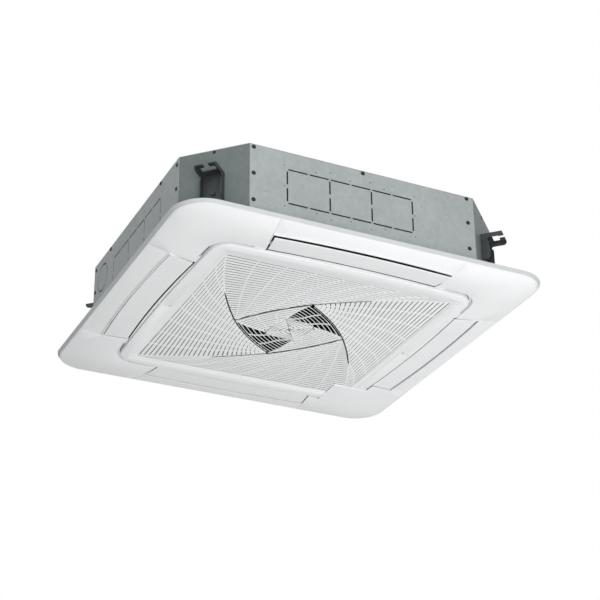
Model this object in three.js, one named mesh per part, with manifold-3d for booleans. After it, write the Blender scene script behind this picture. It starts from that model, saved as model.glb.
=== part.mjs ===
// Four-way ceiling cassette air conditioner: a galvanised casing that hangs above the ceiling
// on four brackets, and a dished square panel below it with four vanes and a whirl grille.
// Millimetres, +Z up. The origin is under the centre, level with the face of the grille.
// Front is -Y, right is +X. Each repeated piece is drawn once at the front, or at the
// front left corner, and turned about Z to its own side.

import * as THREE from 'three';
import { mergeVertices } from 'three/addons/utils/BufferGeometryUtils.js';
import Module from 'manifold-3d';

const wasm = await Module();
wasm.setup();

// ---- driving dimensions -------------------------------------------------------------------

const seat = 0.3; // gap between pieces that touch
const running = 1.5; // gap between a moving piece and what it passes

// panel
const panelHalf = 475;
const panelCorner = 85;
const rimDraft = 6; // how far the rim leans in from the ceiling to its lower edge
const ceilingRise = 25; // ceiling plane above the grille face
const rimRise = 17; // lower edge of the rim above the grille face
const creaseRise = 8; // panel face where it meets the vanes' outer edges
const creaseCorner = 100;
const mouthRise = 3; // panel face at the grille opening
const faceWall = 5;
const sealWidth = 34; // flat band of the rim that seals on the ceiling
const coverThick = 2.2; // loose covers at the four corners
const coverSeam = 0.5;
const bossRadius = 6; // bosses under the corner covers that take the panel's screws
const ductWall = 2.5;
const ductTop = 43; // top of the duct walls that reach up into the casing

// vanes and their outlets
const vaneSetback = 118; // inner edge of a vane at mid length, in from the edge of the panel
const vaneInner = panelHalf - vaneSetback;
const vaneWidth = 60;
const vaneHalfLength = 219.5; // at the inner edge
const vaneFlare = 0.16; // extra half length per millimetre outward
const vaneBow = 8; // bow of the edges over the half length
const vaneThick = 3.5;
const vaneGap = 3.8;
const vanePivotIn = 11; // pivot line, measured outward from the inner edge
const vanePivotRise = 12.5;
const vanePinRadius = 2.2;
const vaneMotorRadius = 11;
const vaneMotorLength = 16;
const vaneMotorOffset = 9; // motor body above its off-centre output shaft

// grille
const mouthStrip = 4.7; // strip of the panel between a vane's outlet and the grille opening
const grilleGap = 2.5;
const grilleHalf = vaneInner - vaneGap - mouthStrip - grilleGap;
const grilleBow = 5.5;
const grilleBowReach = 250;
const grilleCorner = 48;
const grilleThick = 3;
const grilleWallRise = 13;
const grilleWall = 2.5;
const borderWidth = 48;
const fieldHalf = grilleHalf - borderWidth; // half side of the slatted field
const slatBottom = 2;
const slatTop = 6;
const slatWidths = [4.5, 2, 2.5]; // from the outer tier of the whirl to the inner one
const ribWidth = 4;
const fingerGap = 9; // finger recess round each grille corner
const fingerStart = 250; // the recess starts here, from the middle of the side
const hingeInset = 10; // hinge line in from the grille's back edge
const hingeRise = 6.4;
const hingePinRadius = 1.3;
const hingePinAt = vaneHalfLength - 6.5; // pins left and right of the middle
const filterHalf = fieldHalf - 1.2;

// latches in the middle of the left and right border
const latchHalf = 5;
const latchThick = 3;
const latchTravel = 6;
const latchKnob = 11; // length of the sliding knob in its slot
const latchMargin = 9; // from the slot to the grille's edge

// whirl of the slats: radius and angle of the corner of each nested square
const outerSteps = 27;
const middleSteps = 9;
const innerSteps = 5;
const outerRadius = fieldHalf * Math.SQRT2 - 1.4;
const middleRadius = 149;
const innerRadius = 66;
const middleTurn = 47; // degrees that the squares turn from the first to the second tier
const innerTurn = 79;
const coreTurn = 128;
const whirlBulges = [15.4, 5, 3]; // bow of each tier's spiral rib
const sideBulge = 9; // bow of the ribs between two tiers
const slatRate = 1.8; // far ends of the slats step faster along the next spiral by this much

// casing
const casingSetback = 55; // casing's side, in from the edge of the panel
const casingHalf = panelHalf - casingSetback;
const cornerCut = 124;
const casingTop = 230;
const casingLift = 2; // lower edge of the casing above the ceiling plane
const sheet = 1.2;
const cornerFlange = 20;
const topFlange = 16;
const foamWall = 12;
const knockoutCells = 3;
const knockoutWidth = 109;
const knockoutHeight = 90;
const knockoutBottom = 93;
const knockoutSlot = 4;
const knockoutBridge = 5;
const frontKnockouts = -38; // centre of the row on the front side
const leftKnockouts = 18; // and on the left side, seen from outside
const roundKnockoutAt = -230; // round knock-out of the left side, seen from outside
const roundKnockoutRise = 169;
const roundKnockoutRadius = 36.5;

// hanging brackets
const bracketWidth = 54;
const bracketReach = 53;
const bracketTop = 162.5;
const bracketBottom = 62;
const bracketSheet = 2.5;
const bracketCheek = 20;

// drain pan, coil and bell mouth
const outletDepth = 82; // from the casing's side to the coil
const coilHalf = casingHalf - outletDepth;
const coilDepth = 34;
const coilTop = 210;
const coilCorner = 45;
const coilOpening = 98; // the coil is open by this much at the back right corner
const coilGapAt = coilHalf - coilOpening;
const panBottom = 46;
const panTop = 82;
const troughMargin = 3;
const troughFloor = 62;
const panWall = 6;
const panHoleHalf = coilHalf - coilDepth - troughMargin - panWall;
const outletHalf = vaneHalfLength - 4.5;
const bellFoot = 198;
const bellThroat = 166;
const bellTop = 95;

// fan
const fanRadius = 225;
const fanBlades = 7;
const bladeRoot = 112;
const fanBackRise = 197;
const shroudInlet = 176;
const shroudBottom = 90;
const shroudTop = 131;
const fanSheet = 2.5;
const hubRise = 128;
const motorRadius = 58;
const motorBottom = 168;
const motorTop = 219;
const shaftRadius = 6;
const mountRadius = 100;

// control box
const boxFront = 140; // half length
const boxInner = bellFoot + 8;
const boxOuter = panHoleHalf - 1;
const boxBottom = 24;
const boxTop = 76;
const boxWall = 2;

// drain pump, float and pipes
const pumpInset = 33; // pump's axis, in from the coil's outer faces
const pumpAt = coilHalf - pumpInset;
const pumpRadius = 28;
const pumpTop = 168;
const sumpFloor = 54;
const floatX = coilHalf + 27;
const floatY = pumpAt - 43;
const floatRadius = 12;
const gasRadius = 8;
const liquidRadius = 4.8;
const pipeX = coilGapAt + 24;
const gasRise = 168;
const liquidRise = 198;
const drainX = pipeX - 26;
const drainRise = 132;
const drainRadius = 16;
const drainBore = 12.5;
const stubLength = 42; // pipe ends beyond the casing
const stubReach = casingHalf + stubLength;
const nutLength = 14;

// ---- helpers ------------------------------------------------------------------------------

const quarter = Math.PI / 2;
const sideNames = ['front', 'right', 'back', 'left'];
const cornerNames = ['front_left', 'front_right', 'back_right', 'back_left'];

function solid(geometry) {
  const bare = geometry.clone();
  bare.deleteAttribute('normal');
  bare.deleteAttribute('uv');
  const merged = mergeVertices(bare, 1e-4);
  const vertProperties = new Float32Array(merged.attributes.position.array);
  const triVerts = new Uint32Array(merged.index.array);
  return new wasm.Manifold(new wasm.Mesh({ numProp: 3, vertProperties, triVerts }));
}

function geometryOf(body) {
  const mesh = body.asOriginal().simplify(0.01).getMesh();
  const geometry = new THREE.BufferGeometry();
  geometry.setAttribute('position', new THREE.BufferAttribute(mesh.vertProperties, 3));
  geometry.setIndex(new THREE.BufferAttribute(mesh.triVerts, 1));
  geometry.computeVertexNormals();
  return geometry;
}

// The largest body, without the slivers that a cut can leave.
function largest(body) {
  return body.decompose().reduce((best, other) => (other.volume() > best.volume() ? other : best));
}

function joined(bodies) {
  return bodies.reduce((whole, body) => whole.add(body));
}

function cut(body, cutters) {
  return cutters.reduce((whole, cutter) => whole.subtract(cutter), body);
}

function boxGeometry(x0, x1, y0, y1, z0, z1) {
  const geometry = new THREE.BoxGeometry(x1 - x0, y1 - y0, z1 - z0);
  return geometry.translate((x0 + x1) / 2, (y0 + y1) / 2, (z0 + z1) / 2);
}

function box(x0, x1, y0, y1, z0, z1) {
  return solid(boxGeometry(x0, x1, y0, y1, z0, z1));
}

function rodGeometry(radius, z0, z1, sides = 24) {
  const geometry = new THREE.CylinderGeometry(radius, radius, z1 - z0, sides);
  return geometry.rotateX(quarter).translate(0, 0, (z0 + z1) / 2);
}

function rod(x, y, radius, z0, z1, sides) {
  return solid(rodGeometry(radius, z0, z1, sides).translate(x, y, 0));
}

function rodAlongX(y, z, radius, x0, x1, sides = 12) {
  return solid(rodGeometry(radius, x0, x1, sides).rotateY(quarter).translate(0, y, z));
}

function rodAlongY(x, z, radius, y0, y1, sides = 20) {
  return solid(rodGeometry(radius, y0, y1, sides).rotateX(-quarter).translate(x, 0, z));
}

function prismGeometry(points, z0, z1) {
  const shape = new THREE.Shape(points);
  const geometry = new THREE.ExtrudeGeometry(shape, { depth: z1 - z0, bevelEnabled: false });
  return geometry.translate(0, 0, z0);
}

function prism(points, z0, z1) {
  return solid(prismGeometry(points, z0, z1));
}

// profile: closed list of [radius, height] pairs, turned about Z
function turnedGeometry(profile, sides = 28) {
  const points = profile.map(([radius, height]) => new THREE.Vector2(radius, height));
  points.push(points[0].clone());
  const area = THREE.ShapeUtils.area(points);
  if (area < 0) points.reverse();
  return new THREE.LatheGeometry(points, sides).rotateX(quarter);
}

function turned(profile, sides) {
  return solid(turnedGeometry(profile, sides));
}

function aroundZ(geometry, index) {
  return geometry.clone().rotateZ(index * quarter);
}

function fourOf(geometry) {
  return [0, 1, 2, 3].map((index) => solid(aroundZ(geometry, index)));
}

function octagon(inset) {
  const half = casingHalf - inset;
  const leg = cornerCut - (2 - Math.SQRT2) * inset;
  const points = [];
  for (let index = 0; index < 4; index += 1) {
    points.push(new THREE.Vector2(-half, -half + leg).rotateAround(new THREE.Vector2(), index * quarter));
    points.push(new THREE.Vector2(-half + leg, -half).rotateAround(new THREE.Vector2(), index * quarter));
  }
  return points;
}

// Square outline with round corners. Each side bows out: it stands at `half` in the middle
// and falls back by `bow` at the distance `bowReach` from the middle.
function squareOutline(half, corner, bow = 0, bowReach = 229, sideSteps = 6, cornerSteps = 6) {
  const fall = bow / bowReach ** 2;
  const room = half - corner;
  const straight = fall > 0 ? (Math.sqrt(1 + 4 * fall * room) - 1) / (2 * fall) : room;
  const points = [];
  for (let index = 0; index < 4; index += 1) {
    const turn = index * quarter;
    for (let step = 0; step < sideSteps; step += 1) {
      const along = straight * ((2 * step) / sideSteps - 1);
      const point = new THREE.Vector2(along, -(half - fall * along ** 2));
      points.push(point.rotateAround(new THREE.Vector2(), turn));
    }
    for (let step = 0; step < cornerSteps; step += 1) {
      const angle = -quarter + (quarter * step) / cornerSteps;
      const point = new THREE.Vector2(Math.cos(angle), Math.sin(angle)).multiplyScalar(corner);
      points.push(point.add(new THREE.Vector2(straight, -straight)).rotateAround(new THREE.Vector2(), turn));
    }
  }
  return points;
}

// Closed solid through a stack of outlines, each { outline, z }, with flat ends.
function loftGeometry(rings) {
  const count = rings[0].outline.length;
  const positions = [];
  const index = [];
  rings.forEach(({ outline, z }) => outline.forEach((point) => positions.push(point.x, point.y, z)));
  for (let ring = 0; ring < rings.length - 1; ring += 1) {
    for (let step = 0; step < count; step += 1) {
      const next = (step + 1) % count;
      const a = ring * count + step;
      const b = ring * count + next;
      index.push(a, b, b + count, a, b + count, a + count);
    }
  }
  const faces = THREE.ShapeUtils.triangulateShape(rings[0].outline, []);
  const last = (rings.length - 1) * count;
  faces.forEach(([a, b, c]) => {
    index.push(a, c, b);
    index.push(last + a, last + b, last + c);
  });
  const geometry = new THREE.BufferGeometry();
  geometry.setAttribute('position', new THREE.Float32BufferAttribute(positions, 3));
  geometry.setIndex(index);
  return geometry;
}

// Round tube or bar along a path through the points, its corners rounded by `bend`.
function bentBar(points, radius, bend, sides = 10) {
  const path = new THREE.CurvePath();
  let from = points[0].clone();
  for (let index = 1; index < points.length - 1; index += 1) {
    const corner = points[index];
    const before = corner.clone().add(from.clone().sub(corner).setLength(bend));
    const after = corner.clone().add(points[index + 1].clone().sub(corner).setLength(bend));
    path.add(new THREE.LineCurve3(from, before));
    path.add(new THREE.QuadraticBezierCurve3(before, corner, after));
    from = after;
  }
  path.add(new THREE.LineCurve3(from, points[points.length - 1].clone()));
  const section = new THREE.Shape();
  section.absarc(0, 0, radius, 0, 2 * Math.PI, false);
  const steps = 5 * (points.length - 1);
  const options = { steps, curveSegments: sides / 2, extrudePath: path, bevelEnabled: false };
  return new THREE.ExtrudeGeometry(section, options);
}

const at = (x, y, z) => new THREE.Vector3(x, y, z);

// ---- panel outlines -----------------------------------------------------------------------

const rimOutline = (out) => squareOutline(panelHalf + out, panelCorner + out);
const creaseHalf = vaneInner + vaneWidth + vaneGap;
const creaseOutline = () => squareOutline(creaseHalf, creaseCorner, vaneBow, vaneHalfLength);
const grilleOutline = (out) => squareOutline(grilleHalf + out, grilleCorner + out, grilleBow, grilleBowReach);
const mouthOutline = (out) => grilleOutline(grilleGap + out);

// Height of the panel's face at a distance outward from the middle of one side.
function faceHeight(outward) {
  const mouth = grilleHalf + grilleGap;
  const share = THREE.MathUtils.clamp((outward - mouth) / (creaseHalf - mouth), 0, 1);
  return mouthRise + share * (creaseRise - mouthRise);
}

// Closed solid of the dished panel, filled up to the ceiling.
function dishGeometry(lift) {
  return loftGeometry([
    { outline: mouthOutline(0), z: mouthRise + lift },
    { outline: creaseOutline(), z: creaseRise + lift },
    { outline: rimOutline(-rimDraft - 2), z: rimRise - 1.6 + lift },
    { outline: rimOutline(-rimDraft), z: rimRise + lift },
    { outline: rimOutline(0), z: ceilingRise + lift },
  ]);
}

const rimInner = -sealWidth;
const hollowRimRise = () => {
  const outer = panelHalf - rimDraft;
  const share = (panelHalf + rimInner - creaseHalf) / (outer - creaseHalf);
  return creaseRise + share * (rimRise - creaseRise);
};

// Space above the panel's face shell, open at the top.
function hollowGeometry() {
  const innerRim = () => squareOutline(panelHalf + rimInner, panelCorner + rimInner);
  return loftGeometry([
    { outline: mouthOutline(0), z: mouthRise + faceWall },
    { outline: creaseOutline(), z: creaseRise + faceWall },
    { outline: innerRim(), z: hollowRimRise() + faceWall },
    { outline: innerRim(), z: ceilingRise + 1 },
  ]);
}

const vaneHalfAt = (outward) => vaneHalfLength + vaneFlare * (outward - vaneInner);
const edgeFall = (along) => vaneBow * (along / vaneHalfLength) ** 2;

// Plan outline of a vane, grown by `grow`, or of its outlet when `grow` is the gap.
function vaneOutline(grow, steps = 8) {
  const inner = vaneInner - grow;
  const outer = vaneInner + vaneWidth + grow;
  const innerHalf = vaneHalfAt(vaneInner - vaneBow) + grow;
  const outerHalf = vaneHalfAt(vaneInner + vaneWidth - vaneBow) + grow;
  const points = [];
  for (let step = 0; step <= steps; step += 1) {
    const along = outerHalf * ((2 * step) / steps - 1);
    points.push(new THREE.Vector2(along, -(outer - edgeFall(along))));
  }
  for (let step = steps; step >= 0; step -= 1) {
    const along = innerHalf * ((2 * step) / steps - 1);
    points.push(new THREE.Vector2(along, -(inner - edgeFall(along))));
  }
  return points;
}

const pivotOut = vaneInner + vanePivotIn;
const slotHalf = vaneHalfAt(vaneInner + vaneWidth) + vaneGap;
const motorX = slotHalf + ductWall + seat;

// ---- panel --------------------------------------------------------------------------------

// Corner region that one loose corner cover fills, at the front left.
function cornerRegion(inset) {
  const innerEdge = vaneHalfAt(vaneInner - vaneBow) + vaneGap + inset;
  const outerEdge = slotHalf + inset;
  const rimEdge = outerEdge + 6;
  const mouth = grilleHalf - grilleBow - 60;
  const crease = creaseHalf - vaneBow;
  const far = panelHalf - rimDraft - 3 - inset;
  const near = [[innerEdge, mouth], [innerEdge, vaneInner - vaneBow], [outerEdge, crease], [rimEdge, far]];
  const left = near.map(([along, out]) => new THREE.Vector2(-along, -out));
  const right = near.map(([along, out]) => new THREE.Vector2(-out, -along)).reverse();
  return [...left, new THREE.Vector2(-far, -far), ...right];
}

// Space in one corner region from below the panel up to a depth above its face.
function coverSpace(depth, inset) {
  const region = prism(cornerRegion(inset), -1, ceilingRise - 1);
  const rimLimit = prism(rimOutline(-rimDraft - 3 - inset), -2, ceilingRise);
  return region.intersect(rimLimit).subtract(solid(dishGeometry(depth)));
}

function cornerCover() {
  const mouth = prism(mouthOutline(fingerGap - grilleGap + 1), -1, ceilingRise);
  return coverSpace(coverThick, coverSeam).intersect(solid(dishGeometry(0))).subtract(mouth);
}

// Finger recess round one grille corner, at the front left.
function fingerCutter() {
  const outline = mouthOutline(fingerGap - grilleGap);
  const corner = box(-casingHalf, -fingerStart, -casingHalf, -fingerStart, -2, ductTop);
  return prism(outline, -1, ceilingRise + 1).intersect(corner);
}

function turnedBody(body, index) {
  return solid(aroundZ(geometryOf(body), index));
}

// Bosses stand between the grille's corner and the liner, under the corner covers.
const bossAt = () => grilleHalf - grilleBow - 1.5;

// Two ears that hang from the back of the mouth and carry the grille's pins.
function hingeEars() {
  const wallAt = grilleHalf + grilleGap - grilleBow * (hingePinAt / grilleBowReach) ** 2;
  const axisY = grilleHalf - hingeInset;
  return [-1, 1].map((side) => {
    const middle = side * hingePinAt;
    const tab = box(middle - 3, middle + 3, axisY - 2.2, axisY + 2.2, hingeRise - 2.3, 20);
    const arm = box(middle - 3, middle + 3, axisY - 2.2, wallAt + 1.5, 17, 20);
    return tab.add(arm).subtract(rodAlongX(axisY, hingeRise, hingePinRadius + 0.4, middle - 4, middle + 4));
  });
}

function panelFrame() {
  const shell = cut(solid(dishGeometry(0)), [solid(hollowGeometry())]);
  const mouth = prism(mouthOutline(0), -1, ceilingRise + 2);
  const mouthRing = cut(prism(mouthOutline(ductWall), faceHeight(0) + 1, ceilingRise), [mouth]);
  const duct = prismGeometry(vaneOutline(vaneGap + ductWall), faceHeight(vaneInner) + 2, ductTop);
  const clearOfCasing = boxGeometry(-casingHalf, casingHalf, -panelHalf, -casingHalf + foamWall + 6,
    ceilingRise, ductTop + 1);
  const ducts = [0, 1, 2, 3].map((index) => (
    solid(aroundZ(duct, index)).subtract(solid(aroundZ(clearOfCasing, index)))));
  const outlets = fourOf(prismGeometry(vaneOutline(vaneGap), -1, ductTop + 1));
  const pinHoles = fourOf(geometryOf(joined([-1, 1].map((side) => (
    rodAlongX(-pivotOut, vanePivotRise, vanePinRadius + 0.5, side * slotHalf - 12, side * slotHalf + 12))))));
  const pocketHalf = vaneMotorRadius + 1;
  const pockets = fourOf(boxGeometry(motorX - seat, motorX + vaneMotorLength + seat,
    -pivotOut - pocketHalf, -pivotOut + pocketHalf, motorFloor() - seat, ductTop));
  const boss = rodGeometry(bossRadius, creaseRise, panBottom - seat, 14);
  const bosses = fourOf(boss.translate(-bossAt(), -bossAt(), 0));
  const recess = geometryOf(coverSpace(coverThick + seat, 0));
  const fingers = geometryOf(fingerCutter());
  const whole = joined([shell, mouthRing, ...ducts, ...bosses]);
  const corners = [...fourOf(recess), ...fourOf(fingers)];
  const open = cut(whole, [mouth, ...outlets, ...corners, ...pinHoles, ...pockets]);
  return largest(solid(geometryOf(joined([open, ...hingeEars()]))));
}

const motorFloor = () => vanePivotRise + vaneMotorOffset - vaneMotorRadius;

// Vane: thin bowed blade, with a lug and a pivot pin at each end.
function vane() {
  const inner = vaneInner;
  const outer = vaneInner + vaneWidth;
  const shape = vaneOutline(0);
  const low = faceHeight(inner) + 0.6;
  const high = faceHeight(outer) + 0.6;
  const slope = Math.atan2(high - low, outer - inner);
  const blade = prismGeometry(shape, 0, vaneThick);
  blade.translate(0, inner, 0).rotateX(-slope).translate(0, -inner, low);
  const lugs = [-1, 1].map((side) => {
    const end = side * (vaneHalfLength + 0.5);
    const face = side * (vaneHalfLength - 4.5);
    return box(Math.min(end, face), Math.max(end, face), -pivotOut - 4, -pivotOut + 4, low + 2.5,
      vanePivotRise + 3.2);
  });
  const reach = slotHalf - 0.4;
  const pins = [-1, 1].map((side) => {
    const ends = [side * (vaneHalfLength - 1), side * reach];
    return rodAlongX(-pivotOut, vanePivotRise, vanePinRadius, Math.min(...ends), Math.max(...ends));
  });
  return joined([solid(blade), ...lugs, ...pins]);
}

// Stepper motor at the right end of a vane, its output shaft off centre.
function vaneMotor() {
  const rise = vanePivotRise + vaneMotorOffset;
  const body = rodAlongX(-pivotOut, rise, vaneMotorRadius, motorX + seat, motorX + vaneMotorLength, 20);
  const shaft = rodAlongX(-pivotOut, vanePivotRise, vanePinRadius, slotHalf + 0.2, motorX + 3);
  const socket = box(motorX + 4, motorX + vaneMotorLength - 3, -pivotOut - 7, -pivotOut + 7,
    rise + vaneMotorRadius - 3, rise + vaneMotorRadius + 3);
  return joined([body, shaft, socket]);
}

// ---- grille -------------------------------------------------------------------------------

// Corner of the nested square at step `share` (0 to 1) of each tier, at the front left.
function whirlCorner(tier, share) {
  const point = (radius, turn) => {
    const angle = THREE.MathUtils.degToRad(225 - turn);
    return new THREE.Vector2(Math.cos(angle), Math.sin(angle)).multiplyScalar(radius);
  };
  const stops = [point(outerRadius, 0), point(middleRadius, middleTurn), point(innerRadius, innerTurn),
    point(0.001, coreTurn)];
  const [from, to] = [stops[tier], stops[tier + 1]];
  const side = to.clone().sub(from).rotateAround(new THREE.Vector2(), quarter).normalize();
  const bulge = whirlBulges[tier] * 4 * share * (1 - share);
  return from.clone().lerp(to, share).add(side.multiplyScalar(bulge));
}

// Point on the rib between a tier and the next one in, from its far corner to its near one.
function whirlSide(tier, share) {
  const near = whirlCorner(tier, 1);
  const far = near.clone().rotateAround(new THREE.Vector2(), quarter);
  const outward = near.clone().add(far).setLength(sideBulge * 4 * share * (1 - share));
  return far.lerp(near, share).add(outward);
}

// Far end of a slat: on the next spiral rib, or past its inner end on the rib between the tiers.
function slatEnd(tier, share) {
  const reach = share * slatRate;
  if (reach <= 1) return whirlCorner(tier, reach).rotateAround(new THREE.Vector2(), quarter);
  const inmost = tier === whirlBulges.length - 1;
  return inmost ? new THREE.Vector2() : whirlSide(tier, (reach - 1) / (slatRate - 1));
}

function slatGeometry(from, to, width, z0, z1) {
  const along = to.clone().sub(from);
  const geometry = boxGeometry(0, along.length(), -width / 2, width / 2, z0, z1);
  return geometry.rotateZ(along.angle()).translate(from.x, from.y, 0);
}

function strip(points, width, z0, z1) {
  const left = [];
  const right = [];
  points.forEach((point, index) => {
    const before = points[Math.max(index - 1, 0)];
    const after = points[Math.min(index + 1, points.length - 1)];
    const side = after.clone().sub(before).rotateAround(new THREE.Vector2(), quarter).setLength(width / 2);
    left.push(point.clone().add(side));
    right.unshift(point.clone().sub(side));
  });
  return prismGeometry([...left, ...right], z0, z1);
}

function whirlField() {
  const steps = [outerSteps, middleSteps, innerSteps];
  const slats = [];
  const ribs = [];
  steps.forEach((count, tier) => {
    for (let step = 1; step < count; step += 1) {
      const from = whirlCorner(tier, step / count);
      const to = slatEnd(tier, step / count);
      slats.push(slatGeometry(from, to, slatWidths[tier], slatBottom, slatTop));
    }
    const shares = [0, 0.25, 0.5, 0.75, 1];
    ribs.push(strip(shares.map((share) => whirlCorner(tier, share)), ribWidth, slatBottom, slatTop));
    if (tier < steps.length - 1) {
      ribs.push(strip(shares.map((share) => whirlSide(tier, share)), ribWidth, slatBottom, slatTop));
    }
  });
  const quarterField = joined([...ribs, ...slats].map((geometry) => solid(geometry)));
  const core = rod(0, 0, 7, slatBottom, slatTop, 12);
  return joined([...fourOf(geometryOf(quarterField)), core]);
}

function grille() {
  const chamfer = 3;
  const border = solid(loftGeometry([
    { outline: grilleOutline(-chamfer), z: 0 },
    { outline: grilleOutline(0), z: chamfer },
    { outline: grilleOutline(0), z: grilleWallRise },
  ]));
  const inside = prism(grilleOutline(-grilleWall), grilleThick, grilleWallRise + 1);
  const field = prism(squareOutline(fieldHalf, 6, 0, 1, 1, 2), -1, grilleThick + 1);
  const fieldWall = cut(prism(squareOutline(fieldHalf + 2, 8, 0, 1, 1, 2), 1, slatTop + 3),
    [prism(squareOutline(fieldHalf, 6, 0, 1, 1, 2), -1, slatTop + 4)]);
  const insideField = prism(squareOutline(fieldHalf + 1, 7, 0, 1, 1, 2), 0, slatTop + 1);
  const slats = whirlField().intersect(insideField);
  const earNotch = [-1, 1].map((side) => {
    const middle = side * hingePinAt;
    return box(middle - 4.5, middle + 4.5, grilleHalf - hingeInset - 7, grilleHalf + 9, grilleThick + 0.2,
      grilleWallRise + 1);
  });
  const hingeY = grilleHalf - hingeInset;
  const hingeLugs = [-1, 1].map((side) => {
    const face = side * (hingePinAt - 4);
    const lug = box(Math.min(face, face - side * 4), Math.max(face, face - side * 4), hingeY - 2.1,
      hingeY + 1.2, grilleThick - 0.5, hingeRise + 2.1);
    const ends = [face - side * 2, side * (hingePinAt + 2.5)];
    return lug.add(rodAlongX(hingeY, hingeRise, hingePinRadius, Math.min(...ends), Math.max(...ends)));
  });
  const latchSlots = [0, 2].map((index) => solid(aroundZ(boxGeometry(latchSlotIn, latchSlotOut,
    -latchHalf - 0.6, latchHalf + 0.6, -1, grilleThick + 1), index)));
  const latchGates = [0, 2].map((index) => solid(aroundZ(boxGeometry(latchSlotOut, grilleHalf + 5,
    -latchHalf - 0.8, latchHalf + 0.8, grilleThick, grilleThick + latchThick + 0.9), index)));
  const frame = cut(border, [inside, field, ...latchSlots, ...latchGates, ...earNotch]);
  return joined([frame, fieldWall, slats, ...hingeLugs]);
}

const latchSlotOut = grilleHalf - latchMargin;
const latchSlotIn = latchSlotOut - latchKnob - latchTravel - 1;

// Sliding latch, drawn for the right side.
function latch() {
  const knobOut = latchSlotOut - 0.5;
  const knob = box(knobOut - latchKnob, knobOut, -latchHalf, latchHalf, 0.4, grilleThick + seat + 0.5);
  const bar = box(latchSlotIn - 6, grilleHalf + grilleGap - 0.8, -latchHalf, latchHalf, grilleThick + seat,
    grilleThick + seat + latchThick - 0.3);
  return joined([knob, bar]);
}

const filterRise = slatTop + seat;

function filter() {
  const half = filterHalf;
  const outline = squareOutline(half, 6, 0, 1, 1, 2);
  const plate = prism(outline, filterRise, filterRise + 1.2);
  const rails = [-1, -1 / 3, 1 / 3, 1].map((share) => {
    const middle = share * (half - 4);
    return box(middle - 4, middle + 4, -half, half, filterRise, filterRise + 2.6);
  });
  const ends = [-1, 1].map((side) => {
    const middle = side * (half - 4);
    return box(-half, half, middle - 4, middle + 4, filterRise, filterRise + 2.6);
  });
  return joined([plate, ...rails, ...ends]).intersect(prism(outline, filterRise, filterRise + 3));
}

// ---- casing -------------------------------------------------------------------------------

const casingBottom = ceilingRise + casingLift;
const sideHalf = casingHalf - cornerCut - seat;
const sideTop = casingTop - sheet - seat;
const flangeInset = sheet + seat;
const topFlangeInset = 2 * flangeInset;
const foamInset = 3 * flangeInset + seat;
const roomInset = foamInset + foamWall;
const roomTop = casingTop - sheet - seat - foamWall;

// Broken slots that outline one row of rectangular knock-outs.
function knockoutSlots(shift) {
  const slots = [];
  const face = -casingHalf;
  const through = (x0, x1, z0, z1) => slots.push(box(x0, x1, face - 1, face + sheet + 1, z0, z1));
  const left = shift - (knockoutCells * knockoutWidth) / 2;
  const half = knockoutSlot / 2;
  const rises = [knockoutBottom, knockoutBottom + knockoutHeight];
  for (let cell = 0; cell < knockoutCells; cell += 1) {
    const start = left + cell * knockoutWidth;
    [0, 1].forEach((part) => rises.forEach((rise) => {
      const from = start + (part * knockoutWidth) / 2 + knockoutBridge / 2;
      through(from, from + knockoutWidth / 2 - knockoutBridge, rise - half, rise + half);
    }));
  }
  for (let line = 0; line <= knockoutCells; line += 1) {
    const middle = left + line * knockoutWidth;
    [0, 1].forEach((part) => {
      const from = knockoutBottom + (part * knockoutHeight) / 2 + knockoutBridge;
      through(middle - half, middle + half, from, from + knockoutHeight / 2 - 2 * knockoutBridge);
    });
  }
  return slots;
}

// Broken ring slot that outlines the round knock-out.
function roundKnockout() {
  const half = knockoutSlot / 2;
  const [inner, outer] = [roundKnockoutRadius - half, roundKnockoutRadius + half];
  const ring = turnedGeometry([[inner, -4], [outer, -4], [outer, 4], [inner, 4]], 32);
  ring.rotateX(quarter).translate(roundKnockoutAt, -casingHalf, roundKnockoutRise);
  const bridges = [0, 1, 2, 3].map((index) => {
    const bar = boxGeometry(0, outer + 4, -6, 6, -knockoutBridge / 2, knockoutBridge / 2);
    bar.rotateY((index + 0.5) * quarter);
    return solid(bar.translate(roundKnockoutAt, -casingHalf, roundKnockoutRise));
  });
  return cut(solid(ring), bridges);
}

function sidePlate() {
  return box(-sideHalf, sideHalf, -casingHalf, -casingHalf + sheet, casingBottom, sideTop);
}

// opening in the back for the pipes, and the liner's passage behind it
const pipeWindow = {
  x0: drainX - drainRadius - 6,
  x1: pipeX + gasRadius + 3,
  z0: drainRise - drainRadius - 6,
  z1: liquidRise + liquidRadius + 6,
};

function pipePassage() {
  const { x0, x1, z0, z1 } = pipeWindow;
  return box(x0, x1, casingHalf - roomInset - 4, casingHalf + 1, z0, z1);
}

function backPlate() {
  return turnedBody(sidePlate(), 2).subtract(pipePassage());
}

function pipeCover() {
  const { x0, x1, z0, z1 } = pipeWindow;
  const face = casingHalf + seat;
  const plate = box(x0 - 8, x1 + 8, face, face + sheet, z0 - 8, z1 + 8);
  const holes = pipeRuns().map(({ x, z, radius }) => rodAlongY(x, z, radius + 0.8, face - 1, face + 3));
  return cut(plate, holes);
}

function cornerPlate() {
  const edge = -casingHalf + cornerCut;
  const face = -casingHalf + flangeInset;
  const bend = edge - flangeInset;
  const outer = [[edge + cornerFlange, face], [bend, face], [face, bend], [face, edge + cornerFlange]];
  const back = face + sheet;
  const innerBend = bend + sheet * (Math.SQRT2 - 1);
  const innerEnd = edge + cornerFlange;
  const inner = [[back, innerEnd], [back, innerBend], [innerBend, back], [innerEnd, back]];
  const points = [...outer, ...inner].map(([x, y]) => new THREE.Vector2(x, y));
  return prism(points, casingBottom, sideTop);
}

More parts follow.
